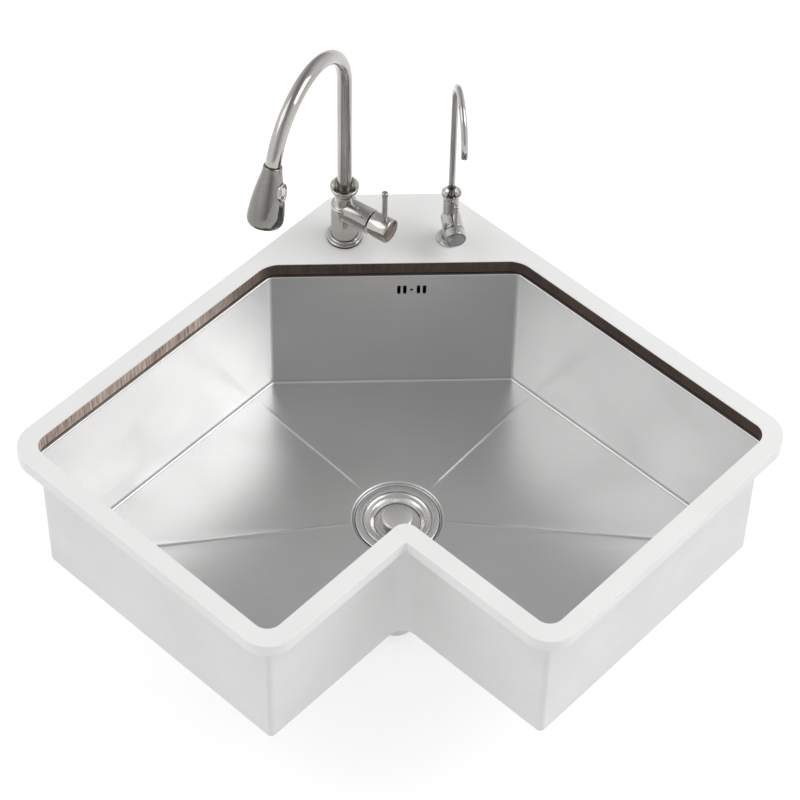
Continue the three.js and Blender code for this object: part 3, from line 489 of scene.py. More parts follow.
def skinPits(group, given):
    # the fine uneven skin of moulded and pressed sheets
    return {"Pits": noise(group, given[0], given[1], 2), "Cloud": noise(group, given[0], 9, 2)}


sheetGrain = newGroup("sheetGrain", [("Stretch", "Vector", (8, 8, 1500)), ("Drift Size", "Float", 5)],
                      sheetLines)
turnedRings = newGroup("turnedRings", [("Per Metre", "Float", 900)], latheRings)
smudges = newGroup("smudges", [("Size", "Float", 18)], handMarks)
speckle = newGroup("speckle", [("Size", "Float", 700)], skinPits)


def startMaterial(name, metallic=0, location=(0, 0, 0), rotation=(0, 0, 0)):
    # a material, its shader, and Object coordinates brought to a piece's own axis
    material = bpy.data.materials.new(name)
    material.use_nodes = True
    tree = material.node_tree
    shader = tree.nodes['Principled BSDF']
    shader.inputs['Metallic'].default_value = metallic
    coordinates = addNode(tree, 'ShaderNodeTexCoord').outputs['Object']
    inputs = {'Vector': coordinates, 'Location': Vector(location) * mm, 'Rotation': rotation}
    return material, tree, shader, addNode(tree, 'ShaderNodeMapping', inputs, vector_type='TEXTURE').outputs[0]


def placeGroup(tree, group, vector, **values):
    inputs = {key.replace("_", " "): value for key, value in values.items()}
    return addNode(tree, 'ShaderNodeGroup', {'Vector': vector, **inputs}, node_tree=group).outputs


def mixOf(tree, share, dark, light):
    # two colours, written or from other nodes, mixed by a share
    ends = [end if isinstance(end, bpy.types.NodeSocket) else (*end, 1) for end in (dark, light)]
    mix = addNode(tree, 'ShaderNodeMix', {'Factor': share, 6: ends[0], 7: ends[1]}, data_type='RGBA')
    return mix.outputs[2]


def dress(tree, shader, colour, roughness, height, depth):
    bump = addNode(tree, 'ShaderNodeBump', {'Height': height, 'Distance': depth * mm, 'Strength': 1.0})
    for socket, value in (('Base Color', colour), ('Roughness', roughness), ('Normal', bump.outputs[0])):
        tree.links.new(value, shader.inputs[socket])


def brushed(start, group, values, smudgeSize, share, dull, smudgeDull, dark, light, rough, depth):
    # steel with fine marks and a slower pattern; the marks and smudges dull it
    material, tree, shader, vector = start
    marks, slow = placeGroup(tree, group, vector, **values)
    smudge = placeGroup(tree, smudges, vector, Size=smudgeSize)[0]
    fine = rangeNode(tree, marks, 0.3, 0.7)
    shine = mathNode(tree, 'MULTIPLY_ADD', fine, dull, rough)
    shine = mathNode(tree, 'MULTIPLY_ADD', smudge, smudgeDull, shine)
    colour = mixOf(tree, sumOf(tree, fine, share, slow, 1 - share), dark, light)
    dress(tree, shader, colour, shine, marks, depth)
    return material


def sheetSteel(name, stretch, *look):
    return brushed(startMaterial(name, 1), sheetGrain, {"Stretch": stretch}, 7, 0.55, 0.06, 0.05, *look)


def turnedSteel(name, location, rotation, *look):
    return brushed(startMaterial(name, 1, location, rotation), turnedRings, {}, 40, 0.5, 0.05, 0.06, *look)


def plainSkin(name, dark, light, rough, depth, size, metallic=0):
    # plastics, rubber, laminate, paint and polished metal
    material, tree, shader, vector = startMaterial(name, metallic)
    pits, cloud = placeGroup(tree, speckle, vector, Size=size)
    smudge = placeGroup(tree, smudges, vector, Size=12)[0]
    colour = mixOf(tree, rangeNode(tree, sumOf(tree, pits, 0.4, cloud, 0.6), 0.35, 0.65), dark, light)
    dress(tree, shader, colour, mathNode(tree, 'MULTIPLY_ADD', smudge, 0.08, rough), pits, depth)
    return material


board = {
    "dark": (0.030, 0.018, 0.013), "light": (0.115, 0.075, 0.055),
    # the pale colours are painted light, for the left stretch of the cut edge where light falls on it
    "paleDark": (0.22, 0.14, 0.105), "paleLight": (0.92, 0.78, 0.69), "paleFrom": -170, "paleTo": -270,
}


def streakyBoard(name):
    # pressed wood with upright streaks on its cut edge; the stretch towards the left is painted paler, painted
    # light where light falls on that side of the edge
    material, tree, shader, vector = startMaterial(name)
    streaks = placeGroup(tree, sheetGrain, vector, Stretch=(420, 420, 24), Drift_Size=22)
    pits = placeGroup(tree, speckle, vector, Size=900)[0]
    streak = rangeNode(tree, streaks[0], 0.32, 0.68)
    tone = sumOf(tree, streak, 0.7, streaks[1], 0.3)
    across = addNode(tree, 'ShaderNodeSeparateXYZ', {0: vector}).outputs[0]
    # painted light: the edge turns paler towards the left
    colour = mixOf(tree, rangeNode(tree, across, board["paleFrom"] * mm, board["paleTo"] * mm),
                   mixOf(tree, tone, board["dark"], board["light"]),
                   mixOf(tree, tone, board["paleDark"], board["paleLight"]))
    dress(tree, shader, colour, rangeNode(tree, streak, 0, 1, 0.62, 0.82),
          mathNode(tree, 'MULTIPLY_ADD', pits, 0.5, streak), 0.06)
    return material


# each finish by name: its maker, its slot in the record, and the maker's values, which end with the
# darkest and lightest colour, the roughness and the depth of the bump in mm; a turned one starts with
# the place and turn of its axis, and a plain one ends with the size of its pits and whether it is metal
upright, quarter = (0, 0, 0), math.pi / 2
mixerAxis, drainAxis = (-67, -46.5, 0), (0, -346, 0)
finishTable = {
    "bowlWall": (sheetSteel, "bowl_steel", (7, 7, 1300),
                 (0.64, 0.637, 0.635), (0.74, 0.738, 0.736), 0.30, 0.004),
    "bowlFloor": (sheetSteel, "bowl_steel", (9, 1300, 9),
                  (0.66, 0.657, 0.655), (0.76, 0.758, 0.756), 0.30, 0.004),
    "bowlCoat": (plainSkin, "bowl_steel", (0.84, 0.84, 0.835), (0.90, 0.90, 0.895), 0.75, 0.12, 500),
    "padCoat": (plainSkin, "pale_pad", (0.50, 0.50, 0.49), (0.66, 0.66, 0.65), 0.85, 0.2, 300),
    "laminate": (plainSkin, "white_laminate", (0.88, 0.878, 0.872), (0.93, 0.928, 0.922), 0.38, 0.02, 600),
    "rubber": (plainSkin, "black_rubber", (0.010, 0.010, 0.011), (0.028, 0.028, 0.029), 0.7, 0.04, 800),
    "whitePlastic": (plainSkin, "white_plastic", (0.74, 0.74, 0.73), (0.82, 0.82, 0.81), 0.34, 0.02, 500),
    "darkPlastic": (plainSkin, "dark_plastic", (0.016, 0.016, 0.017), (0.035, 0.035, 0.036), 0.42, 0.03, 700),
    "brownBoard": (streakyBoard, "brown_board"),
    "brass": (turnedSteel, "brass", mixerAxis, upright, (0.42, 0.29, 0.11), (0.62, 0.45, 0.20), 0.30, 0.012),
    "screwSteel": (turnedSteel, "screw_steel", drainAxis, upright,
                   (0.42, 0.42, 0.41), (0.58, 0.58, 0.57), 0.28, 0.012),
    "drainSteel": (turnedSteel, "drain_steel", drainAxis, upright,
                   (0.74, 0.735, 0.725), (0.88, 0.875, 0.865), 0.20, 0.003),
    # a lighter copy of the drain steel: painted light for the bright top of the plug's knob
    "knobSteel": (turnedSteel, "drain_steel", drainAxis, upright,
                  (0.82, 0.815, 0.805), (0.92, 0.915, 0.905), 0.30, 0.002),
    "mixerSteel": (turnedSteel, "tap_steel", mixerAxis, upright,
                   (0.40, 0.385, 0.365), (0.54, 0.525, 0.50), 0.09, 0.002),
    # a lighter copy of the tap steel: a painted highlight, the band of light on the lever's barrel
    "leverSteel": (turnedSteel, "tap_steel", (-67, -46.5, 77), (0, quarter, math.radians(-36)),
                   (0.46, 0.445, 0.42), (0.60, 0.585, 0.56), 0.09, 0.002),
    "filterHub": (turnedSteel, "tap_steel", (78, -53, 65), (0, quarter, math.radians(-83)),
                  (0.40, 0.39, 0.375), (0.52, 0.51, 0.495), 0.14, 0.002),
    "tubeSteel": (plainSkin, "tap_steel", (0.38, 0.365, 0.345), (0.50, 0.485, 0.465), 0.09, 0.001, 400, 1),
    "filterSteel": (plainSkin, "tap_steel", (0.40, 0.39, 0.375), (0.52, 0.51, 0.495), 0.09, 0.001, 400, 1),
    # a darker copy of the tap steel: painted dark reflections on the spray head
    "headSteel": (plainSkin, "tap_steel", (0.20, 0.20, 0.188), (0.29, 0.28, 0.262), 0.10, 0.001, 400, 1),
    # brown-tinted tap steel: a painted brown reflection on the lever's end cap
    "capSteel": (plainSkin, "tap_steel", (0.20, 0.15, 0.13), (0.28, 0.22, 0.195), 0.16, 0.002, 400, 1),
    "hubCapSteel": (plainSkin, "tap_steel", (0.44, 0.44, 0.445), (0.54, 0.54, 0.545), 0.22, 0.002, 400, 1),
}
finishes = {name: make(name, *values) for name, (make, slot, *values) in finishTable.items()}
print("finishes ready")

# the bowl
bowl = {
    "reveal": 4.5, "sheet": 1.5, "flangeTop": -2, "flangeWidth": 22, "floor": -226.5,
    "wallBend": 6, "floorBend": 4, "rimBend": 2, "fall": 4, "border": 1.6, "merge": 0.3, "floorBand": 1.2,
    "gridPitch": 20, "gridX": (-24, 24), "gridY": (-36, -5), "holeMargin": 18, "rimMargin": 60,
    "screwLine": 16, "screwHole": 3,
}
drain = {
    "x": 0, "y": -346, "rim": 63.5, "collar": 70,
    # the pressed recess, as (radius, depth under the rim)
    "recess": [(64.8, 0), (63.9, 0.15), (63.1, 0.5), (62.4, 1.2), (61.8, 2.2), (61.2, 3.3), (60.6, 3.85),
               (59.8, 4), (50, 4)],
}
creases = {
    # where each pressed line ends, in mm from the origin, and whether it fades out there
    "ends": [((-202, -127), True), ((202, -127), True), ((-461, -406), False), ((461, -406), False),
             ((-174, -690), False), ((174, -690), False)],
    "start": 74, "height": 0.95, "offsets": [-3.4, -1.6, 0, 1.6, 3.4], "rise": [0, 0.5, 1, 0.5, 0],
    "fadeSteps": 5, "fadeLength": 60, "stop": 8, "band": 8, "ramp": 10,
}
overflow = {"x": 24.6, "z": -30, "width": 5, "height": 17.5, "offsets": [-17.7, -9.5, 9.5, 17.7], "hole": 2.3}
backWallY = vee["apexY"] - vee["chamfer"] * diagonal - bowl["reveal"]
drainFloor = bowl["floor"] - bowl["fall"] - drain["recess"][-1][1]


def cutGrid(level):
    # crosses the floor with straight cuts, so that it can be pressed
    pitch = bowl["gridPitch"]
    for step in range(bowl["gridX"][0], bowl["gridX"][1] + 1):
        pick('FACE', lambda f: near(centreOf(f).z, level))
        bisectAt((step * pitch * mm, 0, 0), (1, 0, 0))
    for step in range(bowl["gridY"][0], bowl["gridY"][1] + 1):
        pick('FACE', lambda f: near(centreOf(f).z, level))
        bisectAt((0, step * pitch * mm, 0), (0, 1, 0))


def distanceFromDrain(point):
    return math.hypot(point.x - drain["x"] * mm, point.y - drain["y"] * mm) / mm


def creaseLines():
    # each crease as its hub, direction, side and length, in metres
    hub = Vector((drain["x"], drain["y"])) * mm
    for end, fades in creases["ends"]:
        reach = Vector(end) * mm - hub
        ahead = reach.normalized()
        yield hub, ahead, Vector((-ahead.y, ahead.x)), reach.length, fades


def cutCreases(floorZ):
    # straight cuts along each crease, and across it where it fades
    band = creases["band"] * mm
    for hub, ahead, side, length, fades in creaseLines():
        def onFloor(face):
            if abs(face.normal.z) < 0.5 or abs(centreOf(face).z - floorZ) > 6 * mm:
                return False
            spots = [v.co.xy - hub for v in face.verts]
            forward = [spot.dot(ahead) for spot in spots]
            beside = [spot.dot(side) for spot in spots]
            within = max(forward) > creases["start"] * mm - band and min(forward) < length
            return within and min(beside) < band and max(beside) > -band

        for offset in creases["offsets"]:
            pick('FACE', onFloor)
            base = hub + side * offset * mm
            bisectAt((base.x, base.y, floorZ), (side.x, side.y, 0))
        steps = creases["fadeSteps"] if fades else 0
        for step in range(steps + 1):
            pick('FACE', onFloor)
            spot = hub + ahead * (length - creases["fadeLength"] * (1 - step / max(steps, 1)) * mm)
            bisectAt((spot.x, spot.y, floorZ), (ahead.x, ahead.y, 0))


def creaseRise(point):
    # how far the floor is pressed up at a point, from 0 to 1
    best = 0
    offsets, rise = creases["offsets"], creases["rise"]
    for hub, ahead, side, length, fades in creaseLines():
        spot = point.xy - hub
        forward, beside = spot.dot(ahead) / mm, spot.dot(side) / mm
        if not offsets[0] < beside < offsets[-1]:
            continue
        index = max(i for i, offset in enumerate(offsets) if offset <= beside + 1e-6)
        index = min(index, len(offsets) - 2)
        share = (beside - offsets[index]) / (offsets[index + 1] - offsets[index])
        across = rise[index] + (rise[index + 1] - rise[index]) * share
        left = length / mm - forward - (0 if fades else creases["stop"])
        fadeIn = (forward - creases["start"]) / creases["ramp"]
        along = min(fadeIn, left / creases["fadeLength" if fades else "ramp"], 1)
        best = max(best, across * along)
    return best


def mergeClose(floorZ):
    # cuts that cross almost at one point leave slivers, so their points become one
    pick('VERT', lambda v: abs(v.co.z - floorZ) < bowl["floorBand"] * mm)
    bpy.ops.mesh.remove_doubles(threshold=bowl["merge"] * mm)


def overflowCutters(wallY):
    cutters = []
    half = overflow["height"] / 2 - overflow["width"] / 2
    for offset in overflow["offsets"]:
        cutter = rod(overflow["width"] / 2, -10, 10, 32)
        settle(cutter, shift(overflow["x"] + offset, wallY, overflow["z"]) @ turn(90, 'X'))
        editMode(cutter)
        middle = overflow["z"] * mm
        selectEverything()
        bisectAt((0, 0, middle), (0, 0, 1))
        pick('VERT', lambda v: v.co.z > middle + 0.01 * mm)
        moveBy(z=half)
        pick('VERT', lambda v: v.co.z < middle - 0.01 * mm)
        moveBy(z=-half)
        objectMode()
        cutters.append(cutter)
    hole = rod(overflow["hole"], -10, 10, 24)
    cutters.append(settle(hole, shift(overflow["x"], wallY, overflow["z"]) @ turn(90, 'X')))
    return cutters


def screwSpots():
    line = veeCorners(bowl["reveal"] - bowl["screwLine"])
    pairs = [(0, 6, 0.28), (0, 6, 0.78), (1, 2, 0.28), (1, 2, 0.78), (6, 5, 0.5), (2, 3, 0.5)]
    return [line[a].lerp(line[b], share) for a, b, share in pairs]


def slopeFloor(obj, floorZ):
    # the creases are pressed up, and the floor sinks from nothing at the walls to all at the drain
    mesh = obj.data
    hub = Vector((drain["x"], drain["y"])) * mm
    rim = []
    for face in mesh.polygons:
        spots = {i: mesh.vertices[i].co for i in face.vertices}
        if 0.02 < abs(face.normal.z) < 0.998 and all(spot.z < floorZ + 6 * mm for spot in spots.values()):
            rim += [i for i, spot in spots.items() if near(spot.z, floorZ) and distanceFromDrain(spot) > 100]
    edge = [Vector(mesh.vertices[i].co[:2]) - hub for i in set(rim)]
    edge.sort(key=lambda p: math.atan2(p.y, p.x))

    def reachTowards(spot):
        ahead = spot.normalized()
        best = 1
        for a, b in zip(edge, edge[1:] + edge[:1]):
            side = b - a
            denominator = ahead.x * side.y - ahead.y * side.x
            if abs(denominator) < 1e-12:
                continue
            forward = (a.x * side.y - a.y * side.x) / denominator
            share = (a.x * ahead.y - a.y * ahead.x) / denominator
            if forward > 0 and -1e-4 <= share <= 1 + 1e-4:
                best = min(best, forward)
        return best

    def sinkShare(point):
        spot = point.xy - hub
        reach = reachTowards(spot)
        return 1 - (spot.length - drain["rim"] * mm) / (reach - drain["rim"] * mm)

    changes = (("pressed", creaseRise, creases["height"]), ("sink", sinkShare, -bowl["fall"]))
    for name, shareOf, height in changes:
        group = obj.vertex_groups.new(name=name)
        for vertex in mesh.vertices:
            if vertex.co.z < floorZ + bowl["floorBand"] * mm:
                group.add([vertex.index], min(max(shareOf(vertex.co), 0), 1), 'REPLACE')
        applyModifier(obj, 'DISPLACE', direction='Z', mid_level=0, strength=height * mm, vertex_group=name)
    obj.vertex_groups.clear()


def buildBowl():
    top, floorZ = bowl["flangeTop"], bowl["floor"] * mm
    outer = bowl["reveal"] - bowl["flangeWidth"]
    wide = bowl["wallBend"] + bowl["flangeWidth"]
    notch = vee["notchRadius"] + bowl["reveal"] - bowl["flangeWidth"]
    obj = veeFace(outer, top)
    roundVee(veeCorners(outer), [wide, wide, wide, wide, notch, wide, wide], 8)
    selectEverything()
    bpy.ops.mesh.inset(thickness=bowl["flangeWidth"] * mm, use_even_offset=True)
    drawUp(bowl["floor"] - top)

    # the rolled rim, then the bend into the floor
    for height, radius, steps in ((top * mm, bowl["rimBend"], 4), (floorZ, bowl["floorBend"], 6)):
        def isBend(e):
            level = all(near(v.co.z, height) for v in e.verts)
            faces = [abs(f.normal.z) for f in e.link_faces]
            return level and len(faces) == 2 and min(faces) < 0.1 and max(faces) > 0.9
        pick('EDGE', isBend)
        bevelPicked(radius, steps)
    print("bowl: walls bent")

    # a narrow flat border keeps the bend's shading off the floor, then the floor gets its grid
    pick('FACE', lambda f: abs(f.normal.z) > 0.9 and near(centreOf(f).z, floorZ))
    bpy.ops.mesh.inset(thickness=bowl["border"] * mm, use_even_offset=True)
    cutGrid(floorZ)

    # an opening for the drain: the nearest faces go, and a ring takes their place
    collar = drain["collar"]
    reach = collar + bowl["holeMargin"]
    pick('FACE', lambda f: near(centreOf(f).z, floorZ) and distanceFromDrain(centreOf(f)) < reach)
    bpy.ops.mesh.delete(type='FACE')
    pick('EDGE', lambda e: e.is_boundary and distanceFromDrain(centreOf(e)) < collar + bowl["rimMargin"])
    bm = bmesh.from_edit_mesh(obj.data)
    around = {tuple(round(c, 7) for c in centreOf(e)) for e in bm.edges if e.select}
    bpy.ops.mesh.select_all(action='DESELECT')
    bpy.ops.mesh.primitive_circle_add(vertices=96, radius=collar * mm, fill_type='NOTHING',
                                      location=(drain["x"] * mm, drain["y"] * mm, floorZ))
    pick('EDGE', lambda e: tuple(round(c, 7) for c in centreOf(e)) in around
         or (near(centreOf(e).z, floorZ) and not e.link_faces))
    bpy.ops.mesh.fill(use_beauty=True)
    mergeClose(floorZ)
    cutCreases(floorZ)
    mergeClose(floorZ)
    print("bowl: creases cut")

    # the recess is drawn down ring by ring, and the whole floor falls a little towards it
    pick('EDGE', lambda e: e.is_boundary and distanceFromDrain(centreOf(e)) < collar + 1)
    last = (collar, 0)
    for radius, depth in drain["recess"]:
        bpy.ops.mesh.extrude_edges_move()
        moveBy(z=last[1] - depth)
        scaleBy(radius / last[0], radius / last[0], 1, (drain["x"] * mm, drain["y"] * mm, 0))
        last = (radius, depth)
    selectEverything()
    bpy.ops.mesh.remove_doubles(threshold=0.002 * mm)
    closeUp()
    # the shell is open, so its faces can come out turned inwards
    if max(obj.data.polygons, key=lambda f: f.center.z).normal.z < 0:
        editMode(obj)
        selectEverything()
        bpy.ops.mesh.flip_normals()
        objectMode()
    slopeFloor(obj, floorZ)
    for finish in ("bowlWall", "bowlFloor", "bowlCoat"):
        obj.data.materials.append(finishes[finish])
    for face in obj.data.polygons:
        face.material_index = 1 if face.normal.z > 0.5 and face.center.z < floorZ + 1 * mm else 0
    applyModifier(obj, 'SOLIDIFY', thickness=bowl["sheet"] * mm, offset=-1, use_rim=True, material_offset=2,
                  material_offset_rim=0)
    holes = [settle(rod(bowl["screwHole"], -8, 2, 24), shift(spot.x, spot.y)) for spot in screwSpots()]
    subtract(obj, *overflowCutters(backWallY), *holes)
    for face in obj.data.polygons:
        face.material_index = min(face.material_index, 2)
    smooth(obj)
    evenShading(obj)
    finishPiece(obj, None, "bowl_shell", "sink", "bowlWall", "bowl_floor", "bowl_back_wrap", "bowl_left_wrap",
                "bowl_right_wrap")


buildBowl()
print("bowl ready")

# rim screws
rimScrew = {
    "shaft": 2.2, "length": 11, "head": 5.8, "slot": 1.2, "slotDepth": 1.6, "threads": 10, "cut": 0.45,
}


def buildRimScrews():
    under = bowl["flangeTop"] - bowl["sheet"] - 0.3
    wide, tip = rimScrew["head"], rimScrew["length"]
    threads = cutThread(rimScrew["shaft"], rimScrew["cut"], tip - 1.5, rimScrew["threads"])
    screw = turned([(0, tip), (0.8, tip), *threads, (2.1, under), (wide, under), (wide, under - 1.2),
                    (wide - 0.5, under - 3), (wide - 1.8, under - 4.4), (wide - 3.6, under - 5),
                    (0, under - 5)], 40, 0)
    slotBar = bar(wide * 2.4, rimScrew["slot"], rimScrew["slotDepth"] * 2, (0, 0, under - 5))
    subtract(screw, slotBar)
    smooth(screw)
    for index, spot in enumerate(screwSpots()):
        piece = copyOf(screw, shift(spot.x, spot.y) @ turn(index * 34, 'Z'))
        number = index + 1
        finishPiece(piece, None, "flange_screw_%d" % number, "sink", "screwSteel", "rim_screw_%d" % number)
    bpy.data.objects.remove(screw)


buildRimScrews()

# the worktop round the opening
worktop = {
    "thickness": 20, "laminate": 1, "gap": 0.3, "skin": 1.5, "margin": 25, "ledgeBackY": 30,
    "outerRadius": 40, "notchOuterRadius": 6, "lip": 0.7, "topEdge": 0.9,
    "mixerSpot": (-67, -46.5), "filterSpot": (78, -53), "mixerHole": 17.5, "filterHole": 7,
    "seatDepth": 2, "mixerSeat": 31, "filterSeat": 15, "pilot": 2.6,
}


def boardRadii(skin=0):
    outer, notch = worktop["outerRadius"] + skin, max(worktop["notchOuterRadius"] - skin, 1)
    return [outer, outer, outer, outer, notch, outer, outer]


def tapCutters(kind, low, high):
    return [settle(rod(worktop[tap + kind], low, high, 64), shift(*worktop[tap + "Spot"]))
            for tap in ("mixer", "filter")]


def buildWorktop():
    top = worktop["thickness"]
    coreTop = top - worktop["laminate"] - worktop["gap"]
    margin, ledge = worktop["margin"], worktop["ledgeBackY"]
    board = veePrism(-margin, 0, coreTop, boardRadii(), ledge)
    seats = tapCutters("Seat", -1, worktop["seatDepth"])
    pilots = [settle(rod(worktop["pilot"], -1, 12, 20), shift(spot.x, spot.y)) for spot in screwSpots()]
    subtract(board, veePrism(0, -1, top + 1, openingRadii()))
    subtract(board, *tapCutters("Hole", -1, top + 1), *pilots)
    subtract(board, *seats)
    softenEdges(board, 0.25, 2, 50)
    smooth(board)
    evenShading(board)
    finishPiece(board, None, "worktop_board", "sink", "brownBoard", "worktop_core")

    skin = worktop["skin"]
    cover = veePrism(-margin - skin, 0, top, boardRadii(skin), ledge + skin)
    editMode(cover)
    pick('EDGE', lambda e: all(near(v.co.z, top * mm) for v in e.verts))
    bevelPicked(worktop["topEdge"], 4)
    objectMode()
    gap = worktop["gap"]
    subtract(cover, veePrism(-margin - gap, -1, top - worktop["laminate"], boardRadii(gap), ledge + gap))
    lip = worktop["lip"]
    subtract(cover, veePrism(-lip, -1, top + 1, openingRadii(lip)))
    subtract(cover, *tapCutters("Hole", -1, top + 1))
    smooth(cover)
    evenShading(cover)
    finishPiece(cover, None, "worktop_cover", "sink", "laminate", "worktop_laminate")


buildWorktop()

# the bead that seals the flange to the board
bead = {"outer": 8, "inner": 2, "top": -0.3, "bottom": -1.7}


def buildBead():
    obj = veeFace(-bead["outer"], bead["bottom"])
    roundVee(veeCorners(-bead["outer"]), openingRadii(bead["outer"]), 10)
    selectEverything()
    bpy.ops.mesh.inset(thickness=(bead["outer"] - bead["inner"]) * mm, use_even_offset=True)
    bpy.ops.mesh.delete(type='FACE')
    selectEverything()
    drawUp(bead["top"] - bead["bottom"])
    closeUp()
    softenEdges(obj, 0.5, 3, 40)
    smooth(obj)
    finishPiece(obj, None, "sealing_bead", "sink", "rubber", "silicone_seal")


buildBead()
print("worktop ready")

# the overflow, behind the back wall
overflowBox = {
    "halfWidth": 32, "top": 20, "bottom": -22, "corner": 8, "depth": 22, "wall": 3, "face": 2.6,
    "spigot": 9, "spigotBore": 7, "spigotY": 12.5, "gasketWidth": 6,
    "ribs": (-5, 0, 5), "rib": (50, 2, 1.6), "ribRise": 0.4,
}
overflowPipe = {
    "radius": 11.6, "wall": 1.2, "bend": 34, "pitch": 4.4, "valley": 0.9, "bossReach": 66, "bossDepth": 38,
}
wallBackY = backWallY + bowl["sheet"]


def roundedBlock(inset, nearY, farY):
    low, high = overflowBox["bottom"] + inset, overflowBox["top"] - inset
    width = (overflowBox["halfWidth"] - inset) * 2
    obj = bar(width, farY - nearY, high - low, (0, (nearY + farY) / 2, (low + high) / 2))
    editMode(obj)
    pick('EDGE', lambda e: near(e.verts[0].co.x, e.verts[1].co.x) and near(e.verts[0].co.z, e.verts[1].co.z))
    bevelPicked(max(overflowBox["corner"] - inset, 2), 8)
    objectMode()
    return obj


def buildOverflow():
    place = shift(overflow["x"], wallBackY, overflow["z"])
    gasket = roundedBlock(0, 0.3, 2.3)
    subtract(gasket, roundedBlock(overflowBox["gasketWidth"], -1, 4))
    softenEdges(gasket, 0.5, 2, 40)
    finishPiece(gasket, place, "overflow_seal", "sink", "rubber", "overflow_gasket")

    wall, face, depth = overflowBox["wall"], overflowBox["face"], overflowBox["depth"]
    bottom, spigotY = overflowBox["bottom"], overflowBox["spigotY"]
    shell = roundedBlock(0, face, depth)
    softenEdges(shell, 1, 3, 50)
    fuse(shell, settle(rod(overflowBox["spigot"], bottom - 16, bottom + 1), shift(0, spigotY)))
    for height in overflowBox["ribs"]:
        fuse(shell, bar(*overflowBox["rib"], (0, depth - overflowBox["ribRise"], height), 0.4, 2))
    subtract(shell, roundedBlock(wall, -1, depth - wall))
    subtract(shell, settle(rod(overflowBox["spigotBore"], bottom - 20, bottom + 5), shift(0, spigotY)))
    finishPiece(shell, place, "overflow_cover", "sink", "darkPlastic", "overflow_housing")

    start = Vector((overflow["x"], wallBackY + spigotY, overflow["z"] + bottom - 4))
    toDrain = Vector((drain["x"] - start.x, drain["y"] - start.y, 0))
    level = toDrain.length
    toDrain.normalize()
    bend = overflowPipe["bend"]
    run = start.z - (drainFloor - overflowPipe["bossDepth"]) - bend
    hose = bentPipe(overflowPipe["radius"], run, bend, 90, level - bend - overflowPipe["bossReach"], sides=40,
                    ripple=(overflowPipe["pitch"], overflowPipe["valley"]))
    applyModifier(hose, 'SOLIDIFY', thickness=overflowPipe["wall"] * mm, offset=-1)
    down = Vector((0, 0, -1))
    facing = Matrix((toDrain, down.cross(toDrain), down)).transposed().to_4x4()
    settle(hose, shift(start.x, start.y, start.z) @ facing)
    smooth(hose, 60)
    finishPiece(hose, None, "overflow_hose", "sink", "whitePlastic", "overflow_pipe")
    return math.degrees(math.atan2(-toDrain.y, -toDrain.x))


overflowTurn = buildOverflow()
print("overflow ready")

# the waste kit under the floor
waste = {
    "throatBottom": -52, "spider": 42.5, "spiderThick": 1.6, "hole": (13, 37), "holeSpan": (9, 81),
    "screwHole": 3.4, "bossHeight": -38, "boss": (9, 47, 78), "bossBore": (7, 40, 80),
    "bridge": (93, 10, 7), "bridgeAt": (0, 0, -59.5), "ribs": 8, "rib": (7, 2.2, 40), "ribAt": (51, 0, -36),
    "outletHeight": -160, "lobes": 8, "lobeSteps": 12,
}


def wastePlace():
    return shift(drain["x"], drain["y"], drainFloor)


def towardsWall():
    return wastePlace() @ shift(0, 0, waste["outletHeight"]) @ turn(-90, 'X')


def spiderDisc():
    # a disc with four curved windows, inset ring by ring
    inner, outer = waste["hole"]
    obj = newCircle(waste["spider"], 96, (0, 0, waste["throatBottom"] * mm), 'NGON')
    bpy.ops.object.transform_apply()
    bpy.ops.object.mode_set(mode='EDIT')
    last = waste["spider"]
    for radius in (outer, inner, waste["screwHole"]):
        pick('FACE', lambda f: len(f.verts) > 4)
        bpy.ops.mesh.inset(thickness=(last - radius) * mm)
        last = radius

    def isWindow(f):
        middle = centreOf(f)
        reach = middle.xy.length / mm
        angle = math.degrees(math.atan2(middle.y, middle.x)) % 90
        return inner < reach < outer and waste["holeSpan"][0] < angle < waste["holeSpan"][1]

    pick('FACE', lambda f: isWindow(f) or len(f.verts) > 4)
    bpy.ops.mesh.delete(type='FACE')
    selectEverything()
    drawUp(waste["spiderThick"])
    closeUp()
    return obj


def scallop(obj, radius, depth):
    # dents the outside of a ring between its lobes, so that fingers can grip it
    editMode(obj)
    lobes, steps = waste["lobes"], waste["lobeSteps"]
    for step in range(1, steps // 2 + 1):
        def atPhase(v):
            phase = math.atan2(v.co.y, v.co.x) / (2 * math.pi) * lobes * steps
            fold = round(phase) % steps
            return v.co.xy.length > (radius - 2.4) * mm and min(fold, steps - fold) == step
        pick('VERT', atPhase)
        factor = 1 - depth / radius * (0.5 - 0.5 * math.cos(2 * math.pi * step / steps))
        scaleBy(factor, factor)
    objectMode()
    return obj


def ringNut(radius, bore, low, high, depth=1.6):
    nut = turned([(radius, high - 1), (radius - 1, high), (bore + 0.6, high), (bore, high - 0.6),
                  (bore, low + 0.6), (bore + 0.6, low), (radius - 1, low), (radius, low + 1)], edge=0)
    return smooth(scallop(nut, radius, depth))


def towardsOverflow(radius, low, high):
    # a rod that points from the strainer's side to the overflow's hose
    lay = shift(0, 0, waste["bossHeight"]) @ turn(overflowTurn, 'Z') @ turn(90, 'Y')
    return settle(rod(radius, low, high), lay)


